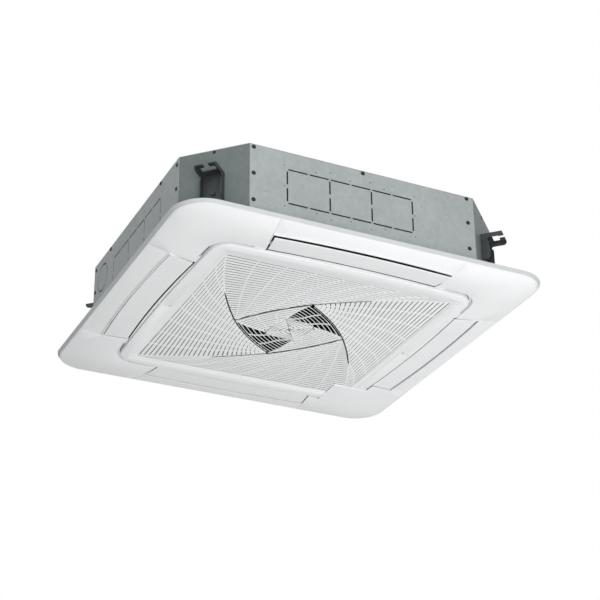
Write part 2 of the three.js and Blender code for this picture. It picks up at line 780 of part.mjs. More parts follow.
function topPlate() {
  const plate = prism(octagon(0), casingTop - sheet, casingTop);
  const outer = prism(octagon(topFlangeInset), casingTop - topFlange, casingTop - sheet / 2);
  const inner = prism(octagon(topFlangeInset + sheet), casingTop - topFlange - 1, casingTop - sheet / 2);
  const beadFrom = mountRadius + 30;
  const bead = boxGeometry(beadFrom, casingHalf - 60, -8, 8, casingTop - sheet / 2, casingTop + 1);
  const beads = fourOf(bead.rotateZ(quarter / 2));
  const dish = turned([[mountRadius - 8, casingTop - sheet / 2], [mountRadius + 8, casingTop - sheet / 2],
    [mountRadius + 8, casingTop + 1], [mountRadius - 8, casingTop + 1]], 40);
  return cut(plate.add(outer.subtract(inner)), [...beads, dish]);
}

function foamLiner() {
  const outer = prism(octagon(foamInset), casingBottom + 1, casingTop - sheet - seat);
  const room = prism(octagon(roomInset), casingBottom, roomTop);
  const mountHole = rod(0, 0, mountRadius + 4, roomTop - 1, casingTop, 40);
  return cut(outer, [room, mountHole, pipePassage()]);
}

// Hanging bracket: back plate, forked arm and two side cheeks, drawn facing -Y.
function bracketFacingFront() {
  const half = bracketWidth / 2;
  const plateTop = bracketTop - bracketSheet;
  const back = box(-half, half, -bracketSheet - seat, -seat, bracketBottom, bracketTop);
  const arm = box(-half, half, -bracketReach, -seat, plateTop, bracketTop);
  const wideSlot = box(-half + 9, half - 9, -bracketReach + 13, -bracketReach + 29, plateTop - 1,
    bracketTop + 1);
  const rodSlot = box(-6.5, 6.5, -bracketReach - 1, -bracketReach + 14, plateTop - 1, bracketTop + 1);
  const cheekShape = [[seat, bracketTop], [bracketReach, bracketTop], [bracketReach, plateTop - 4],
    [bracketReach - 5, plateTop - 9], [bracketCheek - 2, plateTop - 9], [bracketCheek - 5, plateTop - 14],
    [bracketCheek, plateTop - 20], [bracketCheek, bracketBottom + 36], [bracketCheek - 5, bracketBottom + 30],
    [seat, bracketBottom + 30]];
  const cheeks = [-1, 1].map((side) => {
    const points = cheekShape.map(([out, rise]) => new THREE.Vector2(out, rise));
    const flat = prismGeometry(points, 0, bracketSheet);
    flat.rotateX(quarter).rotateZ(-quarter);
    const x = side > 0 ? half - bracketSheet : -half;
    const turnedFlat = solid(flat);
    const bounds = turnedFlat.boundingBox();
    return solid(geometryOf(turnedFlat).translate(x - bounds.min[0], 0, 0));
  });
  const bolts = [bracketBottom + 15, bracketBottom + 48].map((rise) => (
    rodAlongY(0, rise, 6, -bracketSheet - seat - 5, -bracketSheet, 6)));
  return joined([cut(back.add(arm), [wideSlot, rodSlot]), ...cheeks, ...bolts]);
}

function hangerBracket() {
  const middle = -casingHalf + cornerCut / 2;
  const geometry = geometryOf(bracketFacingFront());
  return solid(geometry.rotateZ(-quarter / 2).translate(middle, middle, 0));
}

// ---- drain pan, bell mouth, coil ----------------------------------------------------------

function drainPan() {
  const block = prism(octagon(roomInset + seat), panBottom, panTop);
  const middle = prism(squareOutline(panHoleHalf, 20, 0, 1, 1, 3),
    panBottom - 1, panTop + 1);
  const outer = prism(squareOutline(coilHalf + troughMargin, coilCorner + troughMargin, 0, 1, 1, 3),
    troughFloor, panTop + 1);
  const inner = prism(squareOutline(coilHalf - coilDepth - troughMargin, 14, 0, 1, 1, 3),
    troughFloor - 1, panTop + 2);
  const notch = boxGeometry(-outletHalf, outletHalf, -casingHalf, -coilHalf - troughMargin - 8,
    panBottom - 1, panTop + 1);
  const sump = rod(pumpAt, pumpAt, pumpRadius + 5, sumpFloor, panTop + 1, 24);
  const floatWell = box(floatX - 18, floatX + 16, floatY - 18, pumpAt + 10, sumpFloor, panTop + 1);
  return cut(block, [middle, outer.subtract(inner), ...fourOf(notch), sump, floatWell]);
}

// Plate under the drain pan, with a round hole for the bell mouth and a slot for the control box.
function bellPlate() {
  const top = panBottom - seat;
  const bottom = top - fanSheet;
  const plate = prism(squareOutline(coilHalf - coilDepth + 8, 10, 0, 1, 1, 2), bottom, top);
  const hole = rod(0, 0, bellFoot + seat, bottom - 1, top + 1, 32);
  const slot = 0.6;
  const boxHole = box(-boxOuter - slot, -boxInner + slot, -boxFront - slot, boxFront + slot,
    bottom - 1, top + 1);
  return cut(plate, [hole, boxHole]);
}

// Flared ring that stands on the plate by its flange.
function bellMouth() {
  const top = panBottom - seat;
  const flange = top + seat;
  const outside = [[bellFoot - 1, top - fanSheet], [bellFoot - 1, flange], [bellFoot + 6, flange],
    [bellFoot + 6, flange + 1.5], [bellFoot - 5, flange + 2], [bellFoot - 11, flange + 11],
    [bellThroat + 6, bellTop - 18], [bellThroat + fanSheet, bellTop]];
  const inside = [[bellThroat, bellTop], [bellThroat + 3, bellTop - 18], [bellFoot - 15, flange + 9],
    [bellFoot - 4, top - fanSheet]];
  return turned([...outside, ...inside], 32);
}

function coilShape() {
  const outer = prism(squareOutline(coilHalf, coilCorner, 0, 1, 1, 4), troughFloor + seat, coilTop);
  const inner = prism(squareOutline(coilHalf - coilDepth, coilCorner - coilDepth, 0, 1, 1, 4),
    troughFloor, coilTop + 1);
  const gap = box(coilGapAt, casingHalf, coilGapAt, casingHalf, troughFloor, coilTop + 1);
  return cut(outer, [inner, gap]);
}

function coilEndPlate() {
  const inner = coilHalf - coilDepth - 1;
  const near = coilGapAt + seat;
  return box(near, near + sheet, inner, coilHalf + 1, troughFloor + seat, coilTop + 2);
}

function coilEndPlateRight() {
  const inner = coilHalf - coilDepth - 1;
  const near = coilGapAt + seat;
  return box(inner, coilHalf + 1, near, near + sheet, troughFloor + seat, coilTop + 2);
}

// Thin plate that closes the gap between the coil's two ends on the fan's side.
function coilBaffle() {
  const start = coilGapAt + sheet + 2 * seat;
  const inner = coilHalf - coilDepth + 1;
  const points = [[start, inner], [inner, start], [inner + sheet, start + sheet],
    [start + sheet, inner + sheet]];
  return prism(points.map(([x, y]) => new THREE.Vector2(x, y)), troughFloor + 22, coilTop);
}

// ---- fan ----------------------------------------------------------------------------------

function motorMount() {
  const top = casingTop - sheet - seat;
  const disc = rod(0, 0, mountRadius, top - 2, top, 40);
  const posts = [0, 1, 2].map((index) => {
    const angle = quarter + (index * 4 * quarter) / 3;
    return rod(Math.cos(angle) * (motorRadius + 12), Math.sin(angle) * (motorRadius + 12), 6,
      motorTop - 1, top - 1, 12);
  });
  return joined([disc, ...posts]);
}

function fanMotor() {
  const body = turned([[shaftRadius + 1, motorBottom - 6], [20, motorBottom - 6], [20, motorBottom],
    [motorRadius - 6, motorBottom], [motorRadius, motorBottom + 8], [motorRadius, motorTop - 8],
    [motorRadius - 6, motorTop], [shaftRadius + 1, motorTop]], 24);
  const rearCap = rod(0, 0, 16, motorTop - 3, motorTop + 3, 20);
  const ears = [0, 1, 2].map((index) => {
    const angle = (index * 4 * quarter) / 3 - quarter * 0;
    const ear = boxGeometry(motorRadius - 8, motorRadius + 20, -9, 9, motorTop - 6, motorTop - 1 - seat);
    return solid(ear.rotateZ(quarter + angle));
  });
  return joined([body, rearCap, ...ears]);
}

function motorShaft() {
  return rod(0, 0, shaftRadius, hubRise - 14, motorTop - 8, 16);
}

function fanImpeller() {
  const bore = shaftRadius + seat + 0.1;
  const hubBelow = [[bore, hubRise], [26, hubRise], [44, hubRise + 14], [motorRadius + 9, hubRise + 30],
    [motorRadius + 16, fanBackRise - 12], [motorRadius + 30, fanBackRise - 4], [fanRadius, fanBackRise]];
  const hubAbove = [[fanRadius, fanBackRise + fanSheet], [motorRadius + 28, fanBackRise - 1],
    [motorRadius + 12, fanBackRise - 10], [motorRadius + 5, hubRise + 33], [40, hubRise + 18],
    [bore, hubRise + 16]];
  const hub = turned([...hubBelow, ...hubAbove]);
  const shroud = turned([[shroudInlet, shroudBottom], [shroudInlet + 3, shroudBottom + 14],
    [shroudInlet + 14, shroudBottom + 28], [fanRadius, shroudTop], [fanRadius, shroudTop + fanSheet],
    [shroudInlet + 13, shroudBottom + 31], [shroudInlet, shroudBottom + 15],
    [shroudInlet - fanSheet, shroudBottom]]);
  const below = turned([[20, 20], [20, hubRise + 2], [100, hubRise + 2], [shroudInlet - 10, shroudTop - 22],
    [shroudInlet + 10, shroudTop - 12], [fanRadius + 9, shroudTop + 1.5], [fanRadius + 9, 20]]);
  const bladeLine = [[bladeRoot, -6], [bladeRoot + 28, 22], [fanRadius - 53, 38], [fanRadius - 19, 40],
    [fanRadius - 5, 36]].map(([x, y]) => new THREE.Vector2(x, y));
  const blade = strip(bladeLine, 3, shroudBottom + 14, fanBackRise + 1);
  const blades = [...Array(fanBlades).keys()].map((index) => (
    solid(blade.clone().rotateZ((index * 4 * quarter) / fanBlades)).subtract(below)));
  return joined([hub, shroud, ...blades]);
}

function fanNut() {
  const nut = rod(0, 0, 11, hubRise - 10, hubRise - seat, 6);
  return nut.subtract(rod(0, 0, shaftRadius + seat, hubRise - 11, hubRise, 16));
}

// ---- control box --------------------------------------------------------------------------

function controlBox() {
  const shell = box(-boxOuter, -boxInner, -boxFront, boxFront, boxBottom + 2, boxTop);
  const room = box(-boxOuter + boxWall, -boxInner - boxWall, -boxFront + boxWall, boxFront - boxWall,
    boxBottom, boxTop - boxWall);
  return shell.subtract(room);
}

function controlCover() {
  return box(-boxOuter, -boxInner, -boxFront, boxFront, boxBottom + 2 - seat - sheet, boxBottom + 2 - seat);
}

function controlBoard() {
  const board = box(-boxOuter + 6, -boxInner - 6, -boxFront + 60, boxFront - 6, boxTop - 14, boxTop - 12.4);
  const posts = [-boxFront + 66, boxFront - 12].map((y) => (
    box(-boxOuter + 10, -boxInner - 10, y - 3, y + 3, boxTop - 13, boxTop - boxWall - seat)));
  const parts = [[-20, 16, 14], [30, 22, 18], [84, 14, 11]].map(([y, width, height]) => (
    box(-boxOuter + 16, -boxInner - 22, y - width / 2, y + width / 2, boxTop - 13 - height, boxTop - 13)));
  return joined([board, ...posts, ...parts]);
}

function terminalBlock() {
  const y = -boxFront + 30;
  const block = box(-boxOuter + 10, -boxInner - 10, y - 11, y + 11, boxTop - boxWall - seat - 20,
    boxTop - boxWall - seat);
  const ways = [0, 1, 2, 3, 4].map((index) => {
    const x = -boxOuter + 20 + index * 11;
    return box(x - 4, x + 4, y - 7, y + 7, boxBottom, boxTop - boxWall - 15);
  });
  return cut(block, ways);
}

// ---- drain pump, float, pipes -------------------------------------------------------------

const chamberFloor = sumpFloor + 2;
const chamberTop = sumpFloor + 46;

function drainPump() {
  const profile = [[8, chamberFloor], [pumpRadius - 3, chamberFloor], [pumpRadius - 3, chamberTop],
    [12, chamberTop + 4], [12, pumpTop - 52], [pumpRadius, pumpTop - 48], [pumpRadius, pumpTop],
    [2.6, pumpTop], [2.6, chamberTop - 2], [pumpRadius - 6, chamberTop - 4],
    [pumpRadius - 6, chamberFloor + 2.5], [8, chamberFloor + 2.5]];
  const body = solid(turnedGeometry(profile, 20).translate(pumpAt, pumpAt, 0));
  const outlet = rodAlongY(pumpAt, chamberTop - 9, 7, pumpAt + pumpRadius - 5, pumpAt + pumpRadius + 3, 12);
  return body.add(outlet);
}

function pumpImpeller() {
  const hub = rod(pumpAt, pumpAt, 1.9, chamberFloor + 8, pumpTop - 20, 10);
  const vanes = [0, 1].map((index) => {
    const blade = boxGeometry(-17, 17, -1.2, 1.2, chamberFloor + 6, chamberTop - 8);
    return solid(blade.rotateZ(index * quarter).translate(pumpAt, pumpAt, 0));
  });
  return joined([hub, ...vanes]);
}

// Bracket that holds the pump's motor from the corner of the liner.
function pumpBracket() {
  const wall = (2 * (casingHalf - roomInset) - (cornerCut - (2 - Math.SQRT2) * roomInset)) / Math.SQRT2;
  const centre = pumpAt * Math.SQRT2;
  const plate = boxGeometry(-30, 30, centre - 20, wall - 0.5, pumpTop + seat, pumpTop + seat + sheet);
  const foot = boxGeometry(-30, 30, wall - 0.5 - sheet, wall - 0.5, pumpTop - 30, pumpTop + seat + sheet);
  return joined([plate, foot].map((geometry) => solid(geometry.rotateZ(-quarter / 2))));
}

// Float switch: a stem that stands in the sump, with a head above the float.
function floatSwitch() {
  const base = rod(floatX, floatY, floatRadius + 1, sumpFloor + seat, sumpFloor + 3, 16);
  const stem = rod(floatX, floatY, 3.2, sumpFloor + 2, sumpFloor + 50, 12);
  const head = rod(floatX, floatY, 9, sumpFloor + 46, sumpFloor + 60, 16);
  return joined([base, stem, head]);
}

function floatRing() {
  const low = sumpFloor + 3 + seat;
  const profile = [[4, low], [floatRadius, low], [floatRadius, low + 15], [4, low + 15]];
  return solid(turnedGeometry(profile, 20).translate(floatX, floatY, 0));
}

function pipeRuns() {
  return [
    { x: drainX, z: drainRise, radius: drainRadius },
    { x: pipeX, z: gasRise, radius: gasRadius },
    { x: pipeX, z: liquidRise, radius: liquidRadius },
  ];
}

function coilPipe(radius, rise) {
  const start = coilGapAt + sheet + 2 * seat;
  const row = coilHalf - coilDepth / 2;
  const points = [at(start, row, rise), at(pipeX, row, rise), at(pipeX, stubReach - nutLength, rise)];
  return solid(bentBar(points, radius, pipeX - start - 1, 12));
}

function flareNut(radius, rise) {
  const from = stubReach - nutLength + seat;
  const nut = rodAlongY(pipeX, rise, radius * 1.55, from, stubReach, 6);
  return nut.subtract(rodAlongY(pipeX, rise, radius * 0.72, stubReach - nutLength + 5, stubReach + 1, 12));
}

const spigotStart = casingHalf - roomInset - 12;

function drainSpigot() {
  const tube = rodAlongY(drainX, drainRise, drainRadius, spigotStart, stubReach, 20);
  return tube.subtract(rodAlongY(drainX, drainRise, drainBore, spigotStart + 14, stubReach + 1, 20));
}

// Hose from the pump's outlet up to the drain spigot.
function drainHose() {
  const from = pumpAt + pumpRadius + 3 + seat;
  const points = [at(pumpAt, from, chamberTop - 9), at(pumpAt, from + 24, chamberTop - 9),
    at(pumpAt - 14, from + 34, drainRise), at(drainX, from + 28, drainRise),
    at(drainX, spigotStart - seat, drainRise)];
  return solid(bentBar(points, 7, 9, 10));
}

// ---- assembly -----------------------------------------------------------------------------

const finishes = {
  galvanised: { color: 0xa4b0b0, roughness: 0.5, metalness: 0.55 },
  darkSteel: { color: 0x5a6262, roughness: 0.5, metalness: 0.6 },
  panelWhite: { color: 0xe9eaea, roughness: 0.45, metalness: 0 },
  foam: { color: 0xdfe0dc, roughness: 0.95, metalness: 0 },
  fins: { color: 0xbfc4c6, roughness: 0.4, metalness: 0.8 },
  copper: { color: 0xb87248, roughness: 0.35, metalness: 0.9 },
  blackPlastic: { color: 0x1f2123, roughness: 0.55, metalness: 0 },
  greyPlastic: { color: 0x8d9292, roughness: 0.55, metalness: 0 },
  filterMesh: { color: 0x35393b, roughness: 0.8, metalness: 0 },
  board: { color: 0x2f6b46, roughness: 0.5, metalness: 0 },
};

const materials = Object.fromEntries(Object.entries(finishes).map(([name, finish]) => (
  [name, new THREE.MeshStandardMaterial(finish)])));

const cassette = new THREE.Group();

function addPiece(name, body, finish, index = 0) {
  const mesh = new THREE.Mesh(geometryOf(body), materials[finish].clone());
  mesh.name = name;
  mesh.rotation.z = index * quarter;
  cassette.add(mesh);
}

function addCasing() {
  addPiece('top_plate', topPlate(), 'galvanised');
  addPiece('side_plate_front', cut(sidePlate(), knockoutSlots(frontKnockouts)), 'galvanised', 0);
  addPiece('side_plate_right', sidePlate(), 'galvanised', 1);
  addPiece('side_plate_back', backPlate(), 'galvanised');
  const leftSlots = [...knockoutSlots(leftKnockouts), roundKnockout()];
  addPiece('side_plate_left', cut(sidePlate(), leftSlots), 'galvanised', 3);
  cornerNames.forEach((name, index) => {
    addPiece(`corner_plate_${name}`, cornerPlate(), 'galvanised', index);
    addPiece(`hanger_bracket_${name}`, hangerBracket(), 'darkSteel', index);
  });
  addPiece('pipe_cover_plate', pipeCover(), 'galvanised');
  addPiece('foam_liner', foamLiner(), 'foam');
}

function addAirPath() {
  addPiece('drain_pan', drainPan(), 'foam');
  addPiece('bell_plate', bellPlate(), 'greyPlastic');
  addPiece('bell_mouth', bellMouth(), 'greyPlastic');
  addPiece('heat_exchanger', coilShape(), 'fins');
  addPiece('coil_end_plate_back', coilEndPlate(), 'galvanised');
  addPiece('coil_end_plate_right', coilEndPlateRight(), 'galvanised');
  addPiece('coil_baffle', coilBaffle(), 'galvanised');
  addPiece('motor_mount', motorMount(), 'galvanised');
  addPiece('fan_motor', fanMotor(), 'darkSteel');
  addPiece('motor_shaft', motorShaft(), 'darkSteel');
  addPiece('fan_impeller', fanImpeller(), 'greyPlastic');
  addPiece('fan_nut', fanNut(), 'darkSteel');
}

function addServices() {
  addPiece('control_box', controlBox(), 'galvanised');
  addPiece('control_box_cover', controlCover(), 'galvanised');
  addPiece('control_board', controlBoard(), 'board');
  addPiece('terminal_block', terminalBlock(), 'blackPlastic');
  addPiece('drain_pump', drainPump(), 'greyPlastic');
  addPiece('pump_impeller', pumpImpeller(), 'greyPlastic');
  addPiece('pump_bracket', pumpBracket(), 'galvanised');
  addPiece('float_switch', floatSwitch(), 'greyPlastic');
  addPiece('float_ring', floatRing(), 'panelWhite');
  addPiece('drain_hose', drainHose(), 'greyPlastic');
  addPiece('drain_spigot', drainSpigot(), 'greyPlastic');
  addPiece('gas_pipe', coilPipe(gasRadius, gasRise), 'copper');
  addPiece('liquid_pipe', coilPipe(liquidRadius, liquidRise), 'copper');
  addPiece('gas_flare_nut', flareNut(gasRadius, gasRise), 'copper');
  addPiece('liquid_flare_nut', flareNut(liquidRadius, liquidRise), 'copper');
}

function addPanel() {
  addPiece('panel_frame', panelFrame(), 'panelWhite');
  cornerNames.forEach((name, index) => addPiece(`corner_cover_${name}`, cornerCover(), 'panelWhite', index));
  sideNames.forEach((name, index) => {
    addPiece(`vane_${name}`, vane(), 'panelWhite', index);
    addPiece(`vane_motor_${name}`, vaneMotor(), 'greyPlastic', index);
  });
  addPiece('grille', grille(), 'panelWhite');
  addPiece('filter', filter(), 'filterMesh');
  addPiece('grille_latch_right', latch(), 'panelWhite', 0);
  addPiece('grille_latch_left', latch(), 'panelWhite', 2);
}

addCasing();
addAirPath();
addServices();
addPanel();

export default cassette;
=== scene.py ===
import math

import bmesh
import bpy
from mathutils import Euler, Matrix, Vector


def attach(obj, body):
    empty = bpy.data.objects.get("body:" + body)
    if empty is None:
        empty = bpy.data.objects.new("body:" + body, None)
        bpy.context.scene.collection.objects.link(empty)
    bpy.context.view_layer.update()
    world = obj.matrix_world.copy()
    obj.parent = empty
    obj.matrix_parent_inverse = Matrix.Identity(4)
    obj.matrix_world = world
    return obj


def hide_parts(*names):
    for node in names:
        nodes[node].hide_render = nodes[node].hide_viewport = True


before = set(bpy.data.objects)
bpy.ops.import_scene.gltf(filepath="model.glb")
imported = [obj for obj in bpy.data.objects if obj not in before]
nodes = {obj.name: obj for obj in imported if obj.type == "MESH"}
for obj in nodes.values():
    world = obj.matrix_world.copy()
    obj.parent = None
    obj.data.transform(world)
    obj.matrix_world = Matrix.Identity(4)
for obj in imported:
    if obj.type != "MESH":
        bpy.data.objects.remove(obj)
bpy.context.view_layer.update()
mm = 0.001
sideNames = ["front", "right", "back", "left"]
cornerNames = ["front_left", "front_right", "back_right", "back_left"]


def newMaterial(name, roughness, metallic=0.0, specular=0.5):
    mat = bpy.data.materials.new(name)
    mat.use_nodes = True
    shader = mat.node_tree.nodes["Principled BSDF"]
    shader.inputs["Metallic"].default_value = metallic
    shader.inputs["Roughness"].default_value = roughness
    shader.inputs["Specular IOR Level"].default_value = specular
    return mat, mat.node_tree, shader


def addNode(tree, kind, **values):
    node = tree.nodes.new(kind)
    for key, value in values.items():
        if key in node.inputs:
            node.inputs[key].default_value = value
        else:
            setattr(node, key, value)
    return node


def objectCoords(tree, scale=(1, 1, 1), turn=(0, 0, 0)):
    coords = addNode(tree, "ShaderNodeTexCoord")
    mapping = addNode(tree, "ShaderNodeMapping", Scale=scale, Rotation=turn)
    tree.links.new(coords.outputs["Object"], mapping.inputs["Vector"])
    return mapping.outputs["Vector"]


def noise(tree, scale, detail=3.0, roughness=0.5, stretch=(1, 1, 1)):
    node = addNode(tree, "ShaderNodeTexNoise", Scale=scale, Detail=detail, Roughness=roughness)
    tree.links.new(objectCoords(tree, stretch), node.inputs["Vector"])
    return node.outputs["Fac"]


def cells(tree, scale, feature="F1"):
    node = addNode(tree, "ShaderNodeTexVoronoi", feature=feature, Scale=scale)
    tree.links.new(objectCoords(tree), node.inputs["Vector"])
    return node


def ramp(tree, factor, stops):
    node = addNode(tree, "ShaderNodeValToRGB")
    elements = node.color_ramp.elements
    while len(elements) < len(stops):
        elements.new(0.5)
    for element, (stop, color) in zip(elements, stops):
        element.position = stop
        element.color = (*color, 1)
    tree.links.new(factor, node.inputs["Fac"])
    return node.outputs["Color"]


def mixColor(tree, factor, first, second, blend="MIX"):
    node = addNode(tree, "ShaderNodeMix", data_type="RGBA", blend_type=blend)
    sockets = {"Factor": node.inputs[0], "A": node.inputs[6], "B": node.inputs[7]}
    for key, value in (("Factor", factor), ("A", first), ("B", second)):
        if isinstance(value, bpy.types.NodeSocket):
            tree.links.new(value, sockets[key])
        elif key == "Factor":
            sockets[key].default_value = value
        else:
            sockets[key].default_value = (*value, 1)
    return node.outputs[2]


def mathNode(tree, operation, first, second=0.0):
    node = addNode(tree, "ShaderNodeMath", operation=operation)
    for socket, value in zip(node.inputs, (first, second)):
        if isinstance(value, bpy.types.NodeSocket):
            tree.links.new(value, socket)
        else:
            socket.default_value = value
    return node.outputs[0]


def mapRange(tree, value, low, high):
    node = addNode(tree, "ShaderNodeMapRange")
    node.inputs["To Min"].default_value = low
    node.inputs["To Max"].default_value = high
    tree.links.new(value, node.inputs["Value"])
    return node.outputs["Result"]


def bump(tree, shader, height, strength, distance):
    node = addNode(tree, "ShaderNodeBump", Strength=strength, Distance=distance)
    tree.links.new(height, node.inputs["Height"])
    tree.links.new(node.outputs["Normal"], shader.inputs["Normal"])


def tone(color, factor):
    return tuple(channel * factor for channel in color)


def plastic(name, color, roughness, grain=2600, spread=0.03):
    mat, tree, shader = newMaterial(name, roughness)
    clouds = noise(tree, 9, 2)
    color = ramp(tree, clouds, [(0.3, tone(color, 1 - spread)), (0.7, color)])
    tree.links.new(color, shader.inputs["Base Color"])
    fine = noise(tree, grain, 2)
    tree.links.new(mapRange(tree, fine, roughness - 0.05, roughness + 0.07), shader.inputs["Roughness"])
    bump(tree, shader, fine, 0.12, 0.0002)
    return mat


def zincSheet(name, color, roughness=0.55, metallic=0.12, spangle=95):
    mat, tree, shader = newMaterial(name, roughness, metallic, 0.25)
    grains = cells(tree, spangle)
    clouds = noise(tree, 5, 4)
    base = ramp(tree, grains.outputs["Color"], [(0.0, tone(color, 0.93)), (1.0, tone(color, 1.05))])
    worn = ramp(tree, clouds, [(0.3, (0.9, 0.9, 0.9)), (0.65, (1, 1, 1))])
    tree.links.new(mixColor(tree, 1.0, base, worn, "MULTIPLY"), shader.inputs["Base Color"])
    streaks = noise(tree, 40, 3, 0.6, (1, 1, 0.15))
    tree.links.new(mapRange(tree, streaks, roughness - 0.1, roughness + 0.12), shader.inputs["Roughness"])
    bump(tree, shader, noise(tree, 260, 3), 0.08, 0.0003)
    return mat


def darkZinc(name, color):
    mat, tree, shader = newMaterial(name, 0.45, 0.5)
    clouds = noise(tree, 45, 5, 0.6)
    shade = ramp(tree, clouds, [(0.3, tone(color, 0.75)), (0.7, tone(color, 1.15))])
    tree.links.new(shade, shader.inputs["Base Color"])
    tree.links.new(mapRange(tree, clouds, 0.36, 0.58), shader.inputs["Roughness"])
    bump(tree, shader, noise(tree, 700, 2), 0.15, 0.0002)
    return mat


def moulded(name, color, beads):
    mat, tree, shader = newMaterial(name, 0.85, 0.0, 0.25)
    cell = cells(tree, beads)
    edge = ramp(tree, cell.outputs["Distance"], [(0.2, color), (0.75, tone(color, 0.84))])
    tree.links.new(edge, shader.inputs["Base Color"])
    bump(tree, shader, mathNode(tree, "SUBTRACT", 1.0, cell.outputs["Distance"]), 0.35, 0.0008)
    return mat


def finPack(name):
    mat, tree, shader = newMaterial(name, 0.35, 0.85)
    wave = addNode(tree, "ShaderNodeTexWave", Scale=160, wave_type="BANDS", bands_direction="DIAGONAL")
    tree.links.new(objectCoords(tree, (1, 1, 0)), wave.inputs["Vector"])
    shade = ramp(tree, wave.outputs["Fac"], [(0.2, (0.16, 0.17, 0.18)), (0.7, (0.72, 0.74, 0.76))])
    tree.links.new(shade, shader.inputs["Base Color"])
    bump(tree, shader, wave.outputs["Fac"], 0.5, 0.001)
    return mat


def copperTube(name):
    mat, tree, shader = newMaterial(name, 0.3, 1.0)
    clouds = noise(tree, 60, 5)
    shade = ramp(tree, clouds, [(0.3, (0.42, 0.17, 0.09)), (0.7, (0.78, 0.39, 0.22))])
    tree.links.new(shade, shader.inputs["Base Color"])
    tree.links.new(mapRange(tree, clouds, 0.22, 0.45), shader.inputs["Roughness"])
    return mat


def meshCloth(name, pitch, dark, light):
    mat, tree, shader = newMaterial(name, 0.9, 0.0, 0.0)
    rise = 2 * math.pi / pitch
    across = addNode(tree, "ShaderNodeTexWave", Scale=rise / 20, wave_type="BANDS", bands_direction="X")
    along = addNode(tree, "ShaderNodeTexWave", Scale=rise / 20, wave_type="BANDS", bands_direction="Y")
    coords = objectCoords(tree)
    for wave in (across, along):
        tree.links.new(coords, wave.inputs["Vector"])
    threads = mathNode(tree, "MAXIMUM", across.outputs["Fac"], along.outputs["Fac"])
    shade = ramp(tree, threads, [(0.55, dark), (0.9, light)])
    tree.links.new(shade, shader.inputs["Base Color"])
    bump(tree, shader, threads, 0.4, 0.0004)
    return mat


def ductPaintedShade(name, lip, dark, lipTop):
    # painted shade: near black above a pale band, standing in for the shade inside an air outlet
    mat, tree, shader = newMaterial(name, 0.9, 0.0, 0.1)
    coords = addNode(tree, "ShaderNodeSeparateXYZ")
    tree.links.new(objectCoords(tree), coords.inputs[0])
    above = mathNode(tree, "GREATER_THAN", coords.outputs["Z"], lipTop)
    paintedShade = ramp(tree, noise(tree, 900, 3), [(0.3, tone(dark, 0.6)), (0.7, dark)])
    tree.links.new(mixColor(tree, above, lip, paintedShade), shader.inputs["Base Color"])
    bump(tree, shader, noise(tree, 1500, 3), 0.4, 0.0003)
    return mat


def circuitBoard(name):
    mat, tree, shader = newMaterial(name, 0.4)
    traces = addNode(tree, "ShaderNodeTexBrick", Scale=60)
    traces.inputs["Color1"].default_value = (0.03, 0.16, 0.08, 1)
    traces.inputs["Color2"].default_value = (0.04, 0.2, 0.1, 1)
    traces.inputs["Mortar"].default_value = (0.1, 0.32, 0.18, 1)
    tree.links.new(objectCoords(tree), traces.inputs["Vector"])
    tree.links.new(traces.outputs["Color"], shader.inputs["Base Color"])
    bump(tree, shader, traces.outputs["Fac"], 0.3, 0.0003)
    return mat


colors = {
    "panel": (0.83, 0.845, 0.85),
    "grille": (0.83, 0.845, 0.85),
    "vane": (0.82, 0.835, 0.84),
    "casing": (0.51, 0.555, 0.555),
    # painted shade: the corner plates are the casing's galvanised steel, drawn darker for the shade on the
    # chamfers
    "corner": (0.22, 0.255, 0.255),
    "bracket": (0.07, 0.08, 0.08),
}

finish = {
    "panel": plastic("panelPlastic", colors["panel"], 0.42),
    "grille": plastic("grillePlastic", colors["grille"], 0.4),
    "vane": plastic("vanePlastic", colors["vane"], 0.38),
    "casing": zincSheet("casingZinc", colors["casing"]),
    # painted shade: darker copy of the casing zinc for the corner plates
    "corner": zincSheet("cornerZincPaintedShade", colors["corner"], 0.55, 0.15),
    "inner": zincSheet("innerZinc", (0.42, 0.44, 0.44)),
    "bracket": darkZinc("bracketZinc", colors["bracket"]),
    "screw": darkZinc("screwSteel", (0.03, 0.033, 0.035)),
    "motor": darkZinc("motorSteel", (0.16, 0.17, 0.18)),
    "foam": moulded("linerFoam", (0.035, 0.037, 0.038), 380),
    "pan": moulded("panFoam", (0.06, 0.063, 0.065), 420),
    "fins": finPack("finStock"),
    "copper": copperTube("copperTube"),
    "filter": meshCloth("filterMesh", 0.003, (0.002, 0.002, 0.003), (0.01, 0.011, 0.012)),
    # painted shade for the inner walls of the air outlets
    "ductPaintedShade": ductPaintedShade("ductPaintedShade", colors["panel"], (0.012, 0.013, 0.014), 0.0052),
    # painted shade: near black on the vanes' upper faces, which face into the dark outlet
    "vaneTopShade": plastic("vaneTopShade", (0.014, 0.015, 0.016), 0.85),
    # painted shade: darker grey on the panel's upright rim band, the same white plastic as the panel
    "rimShade": plastic("rimPaintedShade", (0.6, 0.625, 0.63), 0.6),
    "greyPlastic": plastic("greyPlastic", (0.28, 0.3, 0.3), 0.5),
    "blackPlastic": plastic("blackPlastic", (0.02, 0.021, 0.022), 0.45),
    "whitePlastic": plastic("whitePlastic", (0.7, 0.71, 0.71), 0.45),
    "board": circuitBoard("circuitBoard"),
    "hole": plastic("holeShade", (0.012, 0.013, 0.013), 0.8),
}

print("materials made:", len(finish))


def makeObject(name, mesh, material=None):
    obj = bpy.data.objects.new(name, mesh)
    bpy.context.scene.collection.objects.link(obj)
    if material:
        obj.data.materials.clear()
        obj.data.materials.append(material)
    return obj


def meshFrom(name, points, faces):
    mesh = bpy.data.meshes.new(name)
    mesh.from_pydata([tuple(p) for p in points], [], faces)
    mesh.validate()
    mesh.update()
    return mesh


